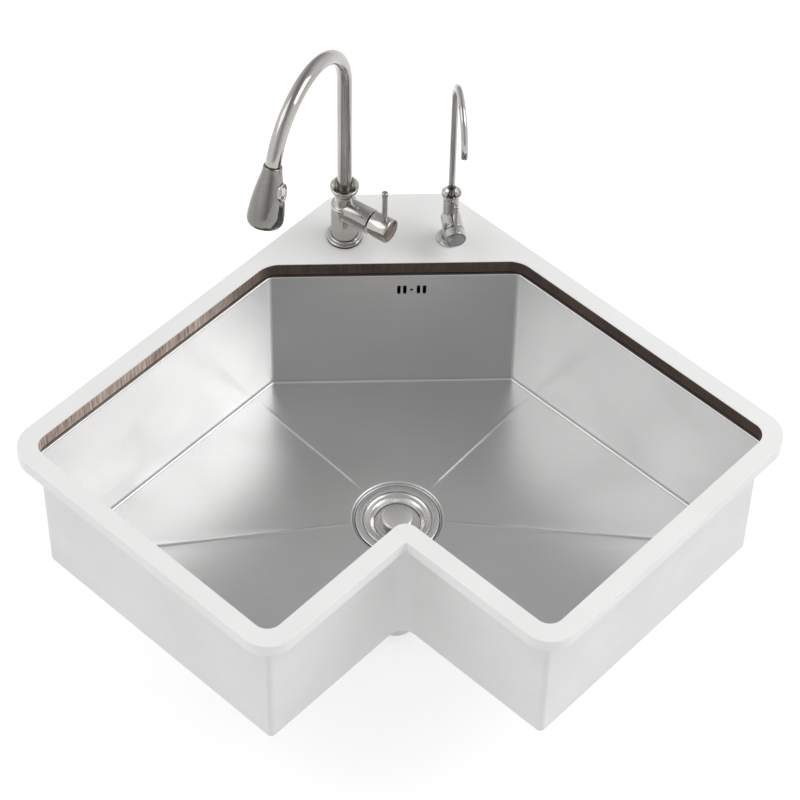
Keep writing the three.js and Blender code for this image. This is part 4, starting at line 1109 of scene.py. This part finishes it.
def buildStrainer():
    place = wastePlace()
    flange = turned([(58.4, 0.6), [3, (58.3, 1.0), (57.8, 1.5), (56.9, 1.8)], (49.6, 1.8), (48.7, 1.55),
        (48.2, 0.9), (48.2, -0.9), (47.8, -1.2), (44.5, -1.2), [3, (43, -1.5), (42, -2.3), (41.5, -3.6)],
        (41.5, -52), (43, -52), (43, -2.7), (49.4, -2.7), (49.4, 0.6)], 128, 0)
    fuse(flange, spiderDisc())
    softenEdges(flange, 0.2, 2, 50)
    finishPiece(flange, place, "drain_flange", "sink", "drainSteel", "strainer_flange")
    # a thin black ring under the flange's rim, which shows as a dark line round it
    finishPiece(washer(59.5, 50.2, 0.04, 0.56, 0.15, sides=128), place, "drain_top_seal", "sink", "rubber")

    under = -bowl["sheet"]
    gasket = washer(57, 50.4, under - 0.3, under - 2.8, 0.5)
    finishPiece(gasket, place, "drain_seal", "sink", "rubber", "strainer_gasket")

    top = under - 3.1
    cup = turned([(58, top), (58, top - 4), (55, top - 5.2), (51.5, -12), (49.5, -15), (49.5, -61),
        [3, (49.5, -63), (49, -64.8), (47.8, -65.8), (46, -66)], (23, -66), (21, -66.6), (20, -68.5), (20, -84),
        (20.5, -85), (20.5, -86), (20, -87), (20, -98), (17, -98), (17, -64.2), (17.6, -63.1), (18.6, -62.8),
        [3, (43, -62.8), (44.8, -62.4), (45.8, -61.2), (46, -59)], (46, -14), (50.6, top - 3), (50.6, top)],
        96, 0)
    fuse(cup, towardsOverflow(*waste["boss"]), bar(*waste["bridge"], waste["bridgeAt"], 1, 2))
    for index in range(waste["ribs"]):
        rib = bar(*waste["rib"], waste["ribAt"], 0.6, 2)
        fuse(cup, settle(rib, turn((index + 0.5) * 360 / waste["ribs"], 'Z')))
    subtract(cup, towardsOverflow(*waste["bossBore"]))
    subtract(cup, rod(waste["screwHole"], -70, -50, 24))
    softenEdges(cup, 0.3, 2, 50)
    finishPiece(cup, place, "drain_body", "sink", "whitePlastic", "strainer_body")

    screw = turned([(0, -46.4), (2.6, -46.45), (4.6, -46.8), (5.6, -47.6), (6, -48.6), (6, -50.1), (3, -50.1),
        *cutThread(3, 0.5, -52, 11), (2.5, -66), (2, -67), (0, -67)], 48, 0)
    subtract(screw, bar(14, 1.3, 2.2, (0, 0, -46.4)))
    finishPiece(screw, place, "clamp_screw", "sink", "screwSteel", "strainer_screw")


def buildTrap():
    place = wastePlace()
    nut = ringNut(26, 20.6, -108, -92)
    finishPiece(nut, place, "trap_top_nut", "sink", "whitePlastic", "trap_inlet_nut")
    bottle = turned([(20, -100.8), (20, -103), (18.5, -104.6), (18.5, -137), [4, (18.9, -140), (21.5, -143.6),
        (26.5, -146.6), (29.4, -150), (30, -154)], (30, -181), (30.6, -182), (30.6, -184), (30, -185),
        (30, -205), (27, -205), (27, -150), [3, (26, -148), (22, -145), (17.5, -143), (15.5, -140)],
        (15.5, -188), (13, -188), (13, -100.8)], 96, 0)
    lay = shift(0, 0, waste["outletHeight"]) @ turn(-90, 'X')
    branch = turned([(0, 20), (18.5, 20), (18.5, 60.4), (17.6, 62), (0, 62)], 96, 0)
    settle(branch, lay)
    subtract(branch, rod(28.5, -205, -120, 96))
    fuse(bottle, branch)
    subtract(bottle, settle(rod(15.2, 18, 70, 96), lay))
    softenEdges(bottle, 0.3, 2, 50)
    finishPiece(bottle, place, "trap_bottle", "sink", "whitePlastic", "trap_body")
    cup = turned([(0, -246), (14, -246), [4, (18, -245.4), (25, -243), (30, -238), (32.8, -231), (33.4, -224)],
        (33.4, -189), (32.6, -188), (30.8, -188), (30.8, -226), [3, (30.2, -231), (27, -236.5), (20, -240),
        (12, -241)], (0, -241)], 96, 0)
    for index in range(12):
        subtract(cup, settle(rod(1.6, -222, -190, 16), turn(index * 30, 'Z') @ shift(34.3)))
    finishPiece(cup, place, "trap_lower_cup", "sink", "whitePlastic", "trap_cup")
    outNut = ringNut(25, 19.2, 52, 68)
    finishPiece(outNut, towardsWall(), "trap_outlet_nut", "sink", "whitePlastic", "outlet_nut")
    pipe = turned([(16, 62.6), (18.6, 62.8), (18.6, 64.6), (16.4, 65.4), (16.4, 209.4), (15.8, 210), (14, 210),
                   (14, 62.6)], 96, 0.2)
    finishPiece(pipe, towardsWall(), "waste_pipe", "sink", "whitePlastic", "outlet_pipe")


# basket and plug, each lifts out of the other
basket = {"slots": 3, "slotWidth": 6, "slotHeight": 16, "slotZ": -23, "screen": 29.6, "screenHole": 2.4,
          "screenRings": [(4, 8), (8, 19)]}


def buildBasket():
    place = wastePlace()
    cup = turned([(47.4, -0.7), [3, (47.4, 0.3), (47.1, 1.1), (46.3, 1.5), (45.4, 1.4), (44.6, 0.8),
        (43.8, 0.35)], (39.4, 0.3), [3, (38.3, 0), (36.4, -1.6), (34, -4), (32.8, -5.2), (32.4, -6.4)],
        (32.4, -8.4), (30.2, -8.4), (30.2, -36), (27, -36), (27, -37), (30.6, -37), (31.2, -36.8),
        (31.4, -36.2), (31.4, -9.8), (33.8, -9.8), (33.8, -6.2), [2, (34.4, -5), (36.2, -3), (37.6, -1.5),
        (38.6, -0.9)], (46.9, -0.9)], 128, 0)
    for index in range(basket["slots"]):
        slot = bar(80, basket["slotWidth"], basket["slotHeight"], (0, 0, basket["slotZ"]), 2.8, 4)
        subtract(cup, settle(slot, turn(180 * index / basket["slots"], 'Z')))
    finishPiece(cup, place, "basket_cup", "strainer_basket", "drainSteel", "strainer_basket")
    screen = disc(basket["screen"], -34.9, -35.7, 0)
    for ring in basket["screenRings"]:
        for spot in ringOf(*ring):
            subtract(screen, settle(rod(basket["screenHole"], -38, -32, 24), spot))
    finishPiece(screen, place, "basket_floor", "strainer_basket", "drainSteel", "basket_screen")
    finishPiece(washer(31.8, 29, -8.1, -6.9, 0.35, 3), place, "plug_ring", "plug", "rubber", "plug_seal")
    plate = turned([(31.7, -6.6), (31.7, -6), (31.4, -5.6), (30.9, -5.5), [3, (28, -5.5), (26.5, -5.75),
        (24, -5.9), (14, -5.9), (11, -5.7), (9.5, -5.5)], (4.4, -5.5), (4.4, -6.6)], 128, 0)
    finishPiece(plate, place, "plug_plate", "plug", "drainSteel", "plug_disc")
    knob = turned([(0, -12), (3.6, -12), (4, -11.6), (4, 0), [3, (4.4, 0.9), (6.5, 1.6), (12, 2), (18.6, 2.3),
        (20.6, 2.8), (21.3, 3.8), (21.4, 4.8), (21, 6.1), (19.4, 6.9), (14, 7.7), (8, 8.1), (3, 8.2)],
        (0, 8.2)], 128, 0)
    # the knob gets the lighter copy of the drain steel, painted light
    finishPiece(knob, place, "plug_grip", "plug", "knobSteel", "plug_knob")


buildStrainer()
buildTrap()
buildBasket()
print("waste kit ready")

# the mixer tap
mixer = {
    "x": -67, "y": -46.5, "armTurn": -36, "armHeight": 57, "armEnd": 45.5, "armRadius": 18,
    "hubStart": 47.3, "hubEnd": 76.5, "pinAt": 66, "pinTop": 71, "pinRadius": 3.6,
    # the sockets and bores as (radius, low end) or (radius, low end, high end, sides)
    "valveSocket": (14.4, 26), "spoutSocket": 72.5, "hubBore": (12.6, 46.3, 57, 96),
    "pinGap": 0.25, "pinLow": 5, "pinSides": 48, "capInset": 2.6,
    "spoutTurn": -118, "tubeRadius": 10, "tubeWall": 2, "tubeStart": 73, "tubeBend": 297,
    "bendRadius": 102.5, "bendAngle": 162, "jointGap": 1.3, "jointShare": 0.91,
    "headLength": 85, "buttonAt": -37, "buttonTilt": 10.5, "ovalShare": 0.77,
    "nubRings": [(8, 6.5), (14, 11), (20, 15.5)],
}


# what the two taps have in common
def tapPlace(tap, z=0):
    return shift(tap["x"], tap["y"], worktop["thickness"] + z)


def armPlace(tap):
    return tapPlace(tap, tap["armHeight"]) @ turn(tap["armTurn"], 'Z')


def joinArm(tap, body, arm, sides):
    # the arm joins the body, with a socket for the valve and one for the spout
    lay = shift(0, 0, tap["armHeight"]) @ turn(tap["armTurn"], 'Z') @ turn(90, 'Y')
    fuse(body, settle(arm, lay))
    subtract(body, settle(rod(*tap["valveSocket"], tap["armEnd"] + 5, sides), lay))
    return subtract(body, rod(tap["tubeRadius"] + 0.5, tap["spoutSocket"], 90, sides))


def boreHub(tap, hub):
    # the valve's bore, the pin's hole and a pocket for the cap, which is given back
    radius, end = tap["armRadius"], tap["hubEnd"]
    subtract(hub, rod(*tap["hubBore"]))
    hole = rod(tap["pinRadius"] + tap["pinGap"], tap["pinLow"], 40, tap["pinSides"])
    subtract(hub, settle(hole, shift(0, 0, tap["pinAt"]) @ turn(-90, 'Y')))
    subtract(hub, rod(radius - tap["capInset"], end - 0.6, end + 1, 96))
    return disc(radius - tap["capInset"] - 0.3, end - 0.55, end - 0.1, 0.15)


def threadOn(radius, top, bottom, pitch, depth=0.5):
    count = int((top - bottom) / pitch)
    return [(radius - (depth if k % 2 else 0), top - (top - bottom) * k / (2 * count))
            for k in range(2 * count + 1)]


def buildMixerBase():
    place = tapPlace(mixer)
    gasket = washer(24.7, 18, 0.3, 2.5, 0.4)
    finishPiece(gasket, place, "mixer_base_seal", "sink", "rubber", "tap_base_gasket")
    ring = turned([(24.1, 2.8), [3, (24.6, 3), (24.9, 3.6), (24.6, 4.6), (23.6, 5.4), (22.5, 5.8)], (22, 6),
        (21.9, 6.8), [3, (21.7, 7.4), (21.2, 8.3), (20.4, 8.9), (19.5, 9.2)], (19.3, 9), (19.3, 5), (16.6, 5),
        (16.6, 2.8)], 128, 0)
    finishPiece(ring, place, "mixer_base_ring", "sink", "mixerSteel", "tap_base_ring")

    body = turned([(0, 5.3), (18.6, 5.3), (19, 5.7), (19, 63.6), [3, (19, 64.4), (18.7, 65.8), (17.8, 67),
        (16.4, 67.6), (15, 68.4), (14, 69.7), (13.5, 71.4)], (13.5, 84.6), (13.2, 85), (0, 85)], 128, 0)
    arm = turned([(0, 0), (18, 0), (18, mixer["armEnd"] - 0.9), (17.7, mixer["armEnd"] - 0.3),
                  (17.1, mixer["armEnd"]), (0, mixer["armEnd"])], 128, 0)
    joinArm(mixer, body, arm, 96)
    finishPiece(body, place, "mixer_body", "sink", "mixerSteel", "tap_body")

    collar = turned([(13.5, 85.3), (13.6, 86.4), [3, (13.9, 87.6), (15.2, 89.8), (17, 92.4), (18.6, 95),
        (19.5, 97.4), (19.9, 99.4), (19.8, 101)], [3, (19.5, 102.2), (18.9, 102.8), (18.2, 103), (17.6, 102.6)],
        (16.6, 101), (14.2, 98.2), (12, 96.6), (10.6, 96.2), (10.5, 95.8), (10.5, 85.3)], 128, 0)
    finishPiece(collar, place, "mixer_collar", "sink", "mixerSteel", "tap_collar")

    low = -worktop["thickness"]
    shank = turned([(15.2, 4.7), *threadOn(16, 1, low - 53, 2), (15.4, low - 55), (12.5, low - 55),
        (12.5, 4.7)], 64, 0)
    finishPiece(shank, place, "mixer_shank", "sink", "brass", "tap_shank")
    seat = low + worktop["seatDepth"]
    clamp = washer(28, 16.8, seat - 0.3, seat - 4, 0.5)
    finishPiece(clamp, place, "mixer_clamp_washer", "sink", "rubber", "tap_clamp_washer")
    nut = ringNut(26, 16.6, seat - 14, seat - 4.3, 2)
    finishPiece(nut, place, "mixer_lock_nut", "sink", "brass", "tap_locknut")
    for side, x in (("hot", -5.4), ("cold", 5.4)):
        tail = turned([(4.2, low - 20), (4.6, low - 20.4), (4.6, low - 82), (5.1, low - 84), (5.1, low - 99.5),
                       (4.6, low - 100), (3, low - 100), (3, low - 20)], 40, 0)
        finishPiece(tail, place @ shift(x), "mixer_inlet_" + side, "sink", "brass", "tap_inlet_" + side)


def buildMixerValve():
    lay = armPlace(mixer) @ turn(90, 'Y')
    cartridge = turned([(14, 26.4), (14, 36), (13.4, 36.4), (13.4, 37.4), (14, 37.8), (14, 41), (11.2, 41),
                        (11.2, 38), (3, 38), (3, 26.4)], 64, 0.3)
    finishPiece(cartridge, lay, "mixer_cartridge", "sink", "darkPlastic", "tap_cartridge")
    dome = turned([(0, 38.4), (10.8, 38.4), [4, (10.8, 44), (10.6, 46), (9.4, 48.8), (7.2, 50.5), (4, 51.4)],
        (0, 51.4)], 64, 0)
    finishPiece(dome, lay, "valve_dome", "mixer_turn", "darkPlastic", "cartridge_dome")

    radius, start, end = mixer["armRadius"], mixer["hubStart"], mixer["hubEnd"]
    hub = turned([(0, start), (radius - 0.9, start), (radius - 0.3, start + 0.3), (radius, start + 0.9),
        (radius, end - 2.6), [3, (17.9, end - 1.9), (17.5, end - 1), (16.8, end - 0.35), (16, end)], (0, end)],
        128, 0)
    editMode(hub)
    selectEverything()
    bisectAt((-3 * mm, 0, (start - 1) * mm), (9.6, 0, -22), clear_outer=True, use_fill=True)
    objectMode()
    cap = boreHub(mixer, hub)
    # the barrel gets the lighter copy of the tap steel, a painted highlight
    finishPiece(hub, lay, "lever_barrel", "mixer_lever", "leverSteel", "lever_hub")
    # the cap gets the brown-tinted steel, a painted reflection
    finishPiece(cap, lay, "lever_cap", "mixer_lever", "capSteel")
    top, thin = mixer["pinTop"], mixer["pinRadius"]
    pin = turned([(0, 6), (thin, 6), (thin, top - 13), [3, (thin, top - 12), (thin + 0.35, top - 9),
        (thin + 0.75, top - 6), (thin + 0.8, top - 3)], [3, (thin + 0.75, top - 1.6), (thin + 0.45, top - 0.6),
        (thin - 0.3, top)], (2, top), (1.7, top - 0.3), (1.5, top - 1.2), (0, top - 1.4)], 64, 0)
    stand = armPlace(mixer) @ shift(mixer["pinAt"])
    finishPiece(pin, stand, "lever_rod", "mixer_lever", "mixerSteel", "lever_pin")


def buildSpout():
    run = mixer["tubeBend"] - mixer["tubeStart"]
    bend, gap = mixer["bendRadius"], mixer["jointGap"]
    short = mixer["bendAngle"] - math.degrees(gap / bend)
    tube = bentPipe(mixer["tubeRadius"], run, bend, short, bendSteps=56, sides=72)
    angle = math.radians(short)
    end = Vector((bend * (1 - math.cos(angle)), 0, run + bend * math.sin(angle)))
    along = Vector((math.sin(angle), 0, math.cos(angle)))
    editMode(tube)
    pick('EDGE', lambda e: e.is_boundary and centreOf(e).z > 1 * mm)
    bpy.ops.mesh.extrude_edges_move()
    scaleBy(*(mixer["jointShare"],) * 3, end * mm)
    bpy.ops.mesh.extrude_edges_move()
    moveBy(*(along * gap))
    closeUp()
    applyModifier(tube, 'SOLIDIFY', thickness=mixer["tubeWall"] * mm, offset=-1)
    settle(tube, tapPlace(mixer, mixer["tubeStart"]) @ turn(mixer["spoutTurn"], 'Z'))
    smooth(tube, 40)
    finishPiece(tube, None, "gooseneck", "spout", "tubeSteel", "spout_tube")


def headPlace():
    angle = math.radians(mixer["bendAngle"])
    up, side = Vector((0, 0, 1)), heading(mixer["spoutTurn"])
    end = up * (mixer["tubeBend"] + mixer["bendRadius"] * math.sin(angle))
    end += side * mixer["bendRadius"] * (1 - math.cos(angle))
    back = -(up * math.cos(angle) + side * math.sin(angle))
    across = up.cross(side).normalized()
    facing = Matrix((across, back.cross(across), back)).transposed().to_4x4()
    return tapPlace(mixer) @ shift(end.x, end.y, end.z) @ facing


def buttonPlace():
    return shift(0, 0, mixer["buttonAt"]) @ turn(90 - mixer["buttonTilt"], 'Y')


def flatten(obj):
    # squeezes a round piece into an oval
    editMode(obj)
    selectEverything()
    scaleBy(1, mixer["ovalShare"])
    objectMode()
    return obj


def buildSprayHead():
    place, length = headPlace(), mixer["headLength"]
    outer = curved([(12.5, -2), (13.1, -8), (14.6, -16), (16.5, -24), (18.2, -32), (19.8, -40), (21.2, -48),
                    (22.3, -56), (23.2, -64), (23.8, -70), (24, -75)], 3)
    shell = turned([(11, -0.3), (11.6, -0.5), (12.1, -1), (12.4, -1.6), *outer, [3, (24, -77), (23.8, -79.4),
        (23.1, -82), (21.8, -84.2), (20.9, -84.8)], (20.4, -85), (20, -84.6), (20, -73), (17, -48), (6.2, -12),
        (6.2, -0.3)], 128, 0)
    pocket = flatten(rod(13.4, 9, 40, 96))
    subtract(shell, settle(pocket, buttonPlace()))
    # the head gets the darker copy of the tap steel, painted dark reflections
    finishPiece(shell, place, "spray_body", "spray_head", "headSteel", "spray_shell")

    face = turned([(19.2, -length + 1.4), (19.7, -length + 2.2), (19.7, -length + 8), (4, -length + 8),
                   (4, -length + 6), (3, -length + 1.4)], 96, 0.3)
    nubs = []
    for ring in mixer["nubRings"]:
        for spot in ringOf(*ring):
            nub = turned([(0, -length + 2.6), (1.1, -length + 2.6), (0.95, -length + 0.7),
                          (0.6, -length + 0.35), (0, -length + 0.35)], 12, 0)
            nubs.append(settle(nub, spot))
    combine(face, nubs, 'UNION')
    finishPiece(face, place, "spray_nozzles", "spray_head", "darkPlastic", "spray_face")

    bezel = turned([(13, 12.2), (13, 19.4), [3, (12.9, 20), (12.3, 20.7), (11.4, 20.9), (10.2, 20.6), (9, 20)],
        (8.5, 19.4), (8.2, 18.8), (8.2, 12.2)], 96, 0)
    bezel = settle(flatten(bezel), buttonPlace())
    finishPiece(bezel, place, "button_surround", "spray_head", "mixerSteel", "spray_bezel")
    button = turned([(0, 16.4), (7.5, 16.4), (7.75, 16.8), (7.75, 19.8), [3, (7.6, 20.3), (6.8, 20.8),
        (5, 21.1), (2, 21.25)], (0, 21.3)], 96, 0)
    button = settle(flatten(button), buttonPlace())
    # the button gets the same lighter copy of the tap steel, a painted highlight
    finishPiece(button, place, "button_cap", "spray_button", "leverSteel", "spray_button")
    stub = washer(4.4, 2.8, -14, 24, 0.2, sides=48)
    finishPiece(stub, place, "hose_stub", "spray_head", "darkPlastic", "hose_end")


buildMixerBase()
buildMixerValve()
buildSpout()
buildSprayHead()
print("mixer ready")

# the drinking-water tap
filterTap = {
    "x": 78, "y": -53, "armTurn": -83, "armHeight": 45, "armEnd": 30, "armRadius": 14,
    "hubStart": 31.4, "hubEnd": 45, "pinAt": 38, "pinTop": 61, "pinRadius": 2.1,
    "valveSocket": (9.4, 18), "spoutSocket": 66, "hubBore": (4.3, 30, 36.4, 48),
    "pinGap": 0.2, "pinLow": 4.6, "pinSides": 32, "capInset": 1.9,
    "tubeRadius": 4.6, "tubeWall": 2, "tubeStart": 66.4, "tubeBend": 271, "bendRadius": 52, "bendAngle": 177,
    "tip": 6, "spoutTurn": -86, "nut": 12, "nutHeight": 8.7,
}


def buildFilterBase():
    place = tapPlace(filterTap)
    ring = turned([(18, 0.3), (18.3, 0.8), (18.3, 1.5), [3, (18.1, 2.2), (17.4, 3.1), (15.6, 4), (13.6, 4.8),
        (12.2, 5.4)], (11.6, 5.4), (11.6, 3), (6.4, 3), (6.4, 0.3)], 96, 0)
    finishPiece(ring, place, "filter_base_plate", "sink", "filterSteel", "filter_base_ring")
    radius, end = filterTap["armRadius"], filterTap["armEnd"]
    body = turned([(0, 3.3), (11, 3.3), (11, 79.4), (10.6, 80), (0, 80)], 96, 0)
    arm = turned([(0, 0), (radius, 0), (radius, end - 0.7), (radius - 0.3, end - 0.2), (radius - 0.8, end),
                  (0, end)], 96, 0)
    joinArm(filterTap, body, arm, 64)
    finishPiece(body, place, "filter_stand", "sink", "filterSteel", "filter_body")
    collar = turned([(11, 80.3), (11, 82.8), [3, (11.1, 84), (11.9, 86.2), (12.9, 88.2), (13.6, 90),
        (13.8, 91.4)], [3, (13.7, 92.1), (13.3, 92.5), (12.8, 92.6), (12.3, 92.2)], (11, 90), (8.4, 87.6),
        (5.2, 86.8), (5.1, 86.4), (5.1, 80.3)], 96, 0)
    finishPiece(collar, place, "filter_cup", "sink", "filterSteel", "filter_collar")
    low = -worktop["thickness"]
    shank = turned([(5.4, 2.7), *threadOn(6, 2, low - 37, 1.5, 0.4), (5.6, low - 38), (3, low - 38), (3, 2.7)],
        48, 0)
    finishPiece(shank, place, "filter_stud", "sink", "brass", "filter_shank")
    seat = low + worktop["seatDepth"]
    nut = softenEdges(rod(filterTap["nut"], seat - 0.3 - filterTap["nutHeight"], seat - 0.3, 6), 0.5, 2, 40)
    subtract(nut, rod(6.5, seat - 12, seat + 2, 48))
    finishPiece(nut, place, "filter_nut", "sink", "brass", "filter_locknut")


def buildFilterSpout():
    tube = bentPipe(filterTap["tubeRadius"], filterTap["tubeBend"] - filterTap["tubeStart"],
                    filterTap["bendRadius"], filterTap["bendAngle"], filterTap["tip"], bendSteps=48, sides=48)
    applyModifier(tube, 'SOLIDIFY', thickness=filterTap["tubeWall"] * mm, offset=-1)
    softenEdges(tube, 0.4, 2, 50)
    settle(tube, tapPlace(filterTap, filterTap["tubeStart"]) @ turn(filterTap["spoutTurn"], 'Z'))
    smooth(tube, 40)
    finishPiece(tube, None, "filter_gooseneck", "filter_spout", "filterSteel", "filter_spout")


def buildFilterValve():
    lay = armPlace(filterTap) @ turn(90, 'Y')
    cartridge = turned([(0, 18.3), (9, 18.3), (9, 29), (4, 29), (4, 36), (0, 36)], 48, 0.3)
    finishPiece(cartridge, lay, "filter_valve", "sink", "brass", "filter_cartridge")
    radius, start, end = filterTap["armRadius"], filterTap["hubStart"], filterTap["hubEnd"]
    hub = turned([(0, start), (radius - 0.8, start), (radius - 0.3, start + 0.2), (radius, start + 0.7),
        (radius, end - 1.4), [3, (13.9, end - 0.9), (13.5, end - 0.35), (12.8, end)], (0, end)], 96, 0)
    cap = boreHub(filterTap, hub)
    finishPiece(hub, lay, "filter_barrel", "filter_lever", "filterHub", "filter_hub")
    finishPiece(cap, lay, "filter_cap", "filter_lever", "hubCapSteel")
    top, thin = filterTap["pinTop"], filterTap["pinRadius"]
    pin = turned([(0, 5), (thin, 5), (thin, top - 7.5), [3, (thin, top - 6.6), (2.5, top - 5.4),
        (3.3, top - 4.2), (3.6, top - 2.8), (3.2, top - 1.2), (2.2, top - 0.3), (1, top)], (0, top)], 40, 0)
    stand = armPlace(filterTap) @ shift(filterTap["pinAt"])
    finishPiece(pin, stand, "filter_rod", "filter_lever", "filterSteel", "filter_pin")


buildFilterBase()
buildFilterSpout()
buildFilterValve()
print("filter tap ready")

# the sound pads keep their solids and get a coat of their own
for padName in ("left_sound_pad", "right_sound_pad"):
    pad = bpy.data.objects[padName]
    for slot in pad.material_slots:
        slot.material = finishes["padCoat"]

# camera, floor and light
studio = {
    "place": (-0.126847, -2.876683, 3.136812), "yaw": 0.05, "pitch": 0.887, "roll": 0.023, "lens": 137.085,
    "floorZ": -0.4907, "floorSize": 24, "floorColour": (0.80, 0.80, 0.80), "floorGlow": 0.45,
    "sky": [(0.0, 0.75), (0.5, 0.75), (0.62, 0.75), (0.80, 0.72), (1.0, 0.55)], "skyStrength": 1.12,
    # the soft light comes from both sides: (share of sideways at which it starts, ends, darkest, lightest)
    "sides": (0.12, 0.80, 0.56, 1.25),
    # each lamp as (place, aim, width, height, watts)
    "lamps": [((2.6, -0.5, 2.9), (0.0, -0.35, 0.0), 2.4, 2.4, 42),
              ((-2.6, -0.5, 2.9), (0.0, -0.35, 0.0), 2.4, 2.4, 20)],
}


def setCamera():
    yaw, pitch, roll = studio["yaw"], studio["pitch"], studio["roll"]
    ahead = Vector((math.sin(yaw) * math.cos(pitch), math.cos(yaw) * math.cos(pitch), -math.sin(pitch)))
    right = Vector((math.cos(yaw), -math.sin(yaw), 0))
    up = right.cross(ahead)
    across = right * math.cos(roll) + up * math.sin(roll)
    above = up * math.cos(roll) - right * math.sin(roll)
    lens = bpy.data.cameras.new("camera")
    lens.lens = studio["lens"]
    lens.sensor_width = 36
    lens.clip_end = 100
    camera = bpy.data.objects.new("camera", lens)
    facing = Matrix((across, above, -ahead)).transposed().to_4x4()
    camera.matrix_world = Matrix.Translation(studio["place"]) @ facing
    scene.collection.objects.link(camera)
    scene.camera = camera


def seenDirectly(tree):
    path = addNode(tree, 'ShaderNodeLightPath')
    mirrored = mathNode(tree, 'MAXIMUM', path.outputs['Is Glossy Ray'], path.outputs['Is Transmission Ray'])
    return mathNode(tree, 'MAXIMUM', path.outputs['Is Camera Ray'], mirrored)


def buildStage():
    deselectAll()
    bpy.ops.mesh.primitive_plane_add(size=studio["floorSize"], location=(0, 0, studio["floorZ"]))
    floor = bpy.context.object
    floor.name = "floor"
    settle(floor)
    material = bpy.data.materials.new("paleFloor")
    material.use_nodes = True
    tree = material.node_tree
    shader = tree.nodes['Principled BSDF']
    shader.inputs['Base Color'].default_value = (*studio["floorColour"], 1)
    shader.inputs['Roughness'].default_value = 0.9
    shader.inputs['Specular IOR Level'].default_value = 0
    shader.inputs['Emission Color'].default_value = (1, 1, 1, 1)
    tree.links.new(mathNode(tree, 'MULTIPLY', seenDirectly(tree), studio["floorGlow"]),
                   shader.inputs['Emission Strength'])
    floor.data.materials.append(material)


def buildLight():
    world = bpy.data.worlds.new("studio")
    scene.world = world
    world.use_nodes = True
    tree = world.node_tree
    direction = addNode(tree, 'ShaderNodeTexCoord').outputs['Generated']
    parts = addNode(tree, 'ShaderNodeSeparateXYZ', {0: direction}).outputs
    ramp = addNode(tree, 'ShaderNodeValToRGB', {0: rangeNode(tree, parts[2], -1, 1)})
    stops = ramp.color_ramp.elements
    for index, (place, value) in enumerate(studio["sky"]):
        stop = stops[index] if index < 2 else stops.new(place)
        stop.position = place
        stop.color = (value, value, value, 1)
    sideways = rangeNode(tree, mathNode(tree, 'ABSOLUTE', parts[0]), *studio["sides"])
    background = tree.nodes['Background']
    tree.links.new(mathNode(tree, 'MULTIPLY', ramp.outputs[0], sideways), background.inputs['Color'])
    background.inputs['Strength'].default_value = studio["skyStrength"]
    for index, (place, aim, width, height, power) in enumerate(studio["lamps"]):
        lamp = bpy.data.lights.new("softbox%d" % (index + 1), 'AREA')
        lamp.shape = 'RECTANGLE'
        lamp.size, lamp.size_y, lamp.energy = width, height, power
        holder = bpy.data.objects.new(lamp.name, lamp)
        toward = Vector(aim) - Vector(place)
        holder.matrix_world = Matrix.Translation(place) @ toward.to_track_quat('-Z', 'Y').to_matrix().to_4x4()
        scene.collection.objects.link(holder)


setCamera()
buildStage()
buildLight()
scene.view_settings.view_transform = 'Standard'
print("stage ready")
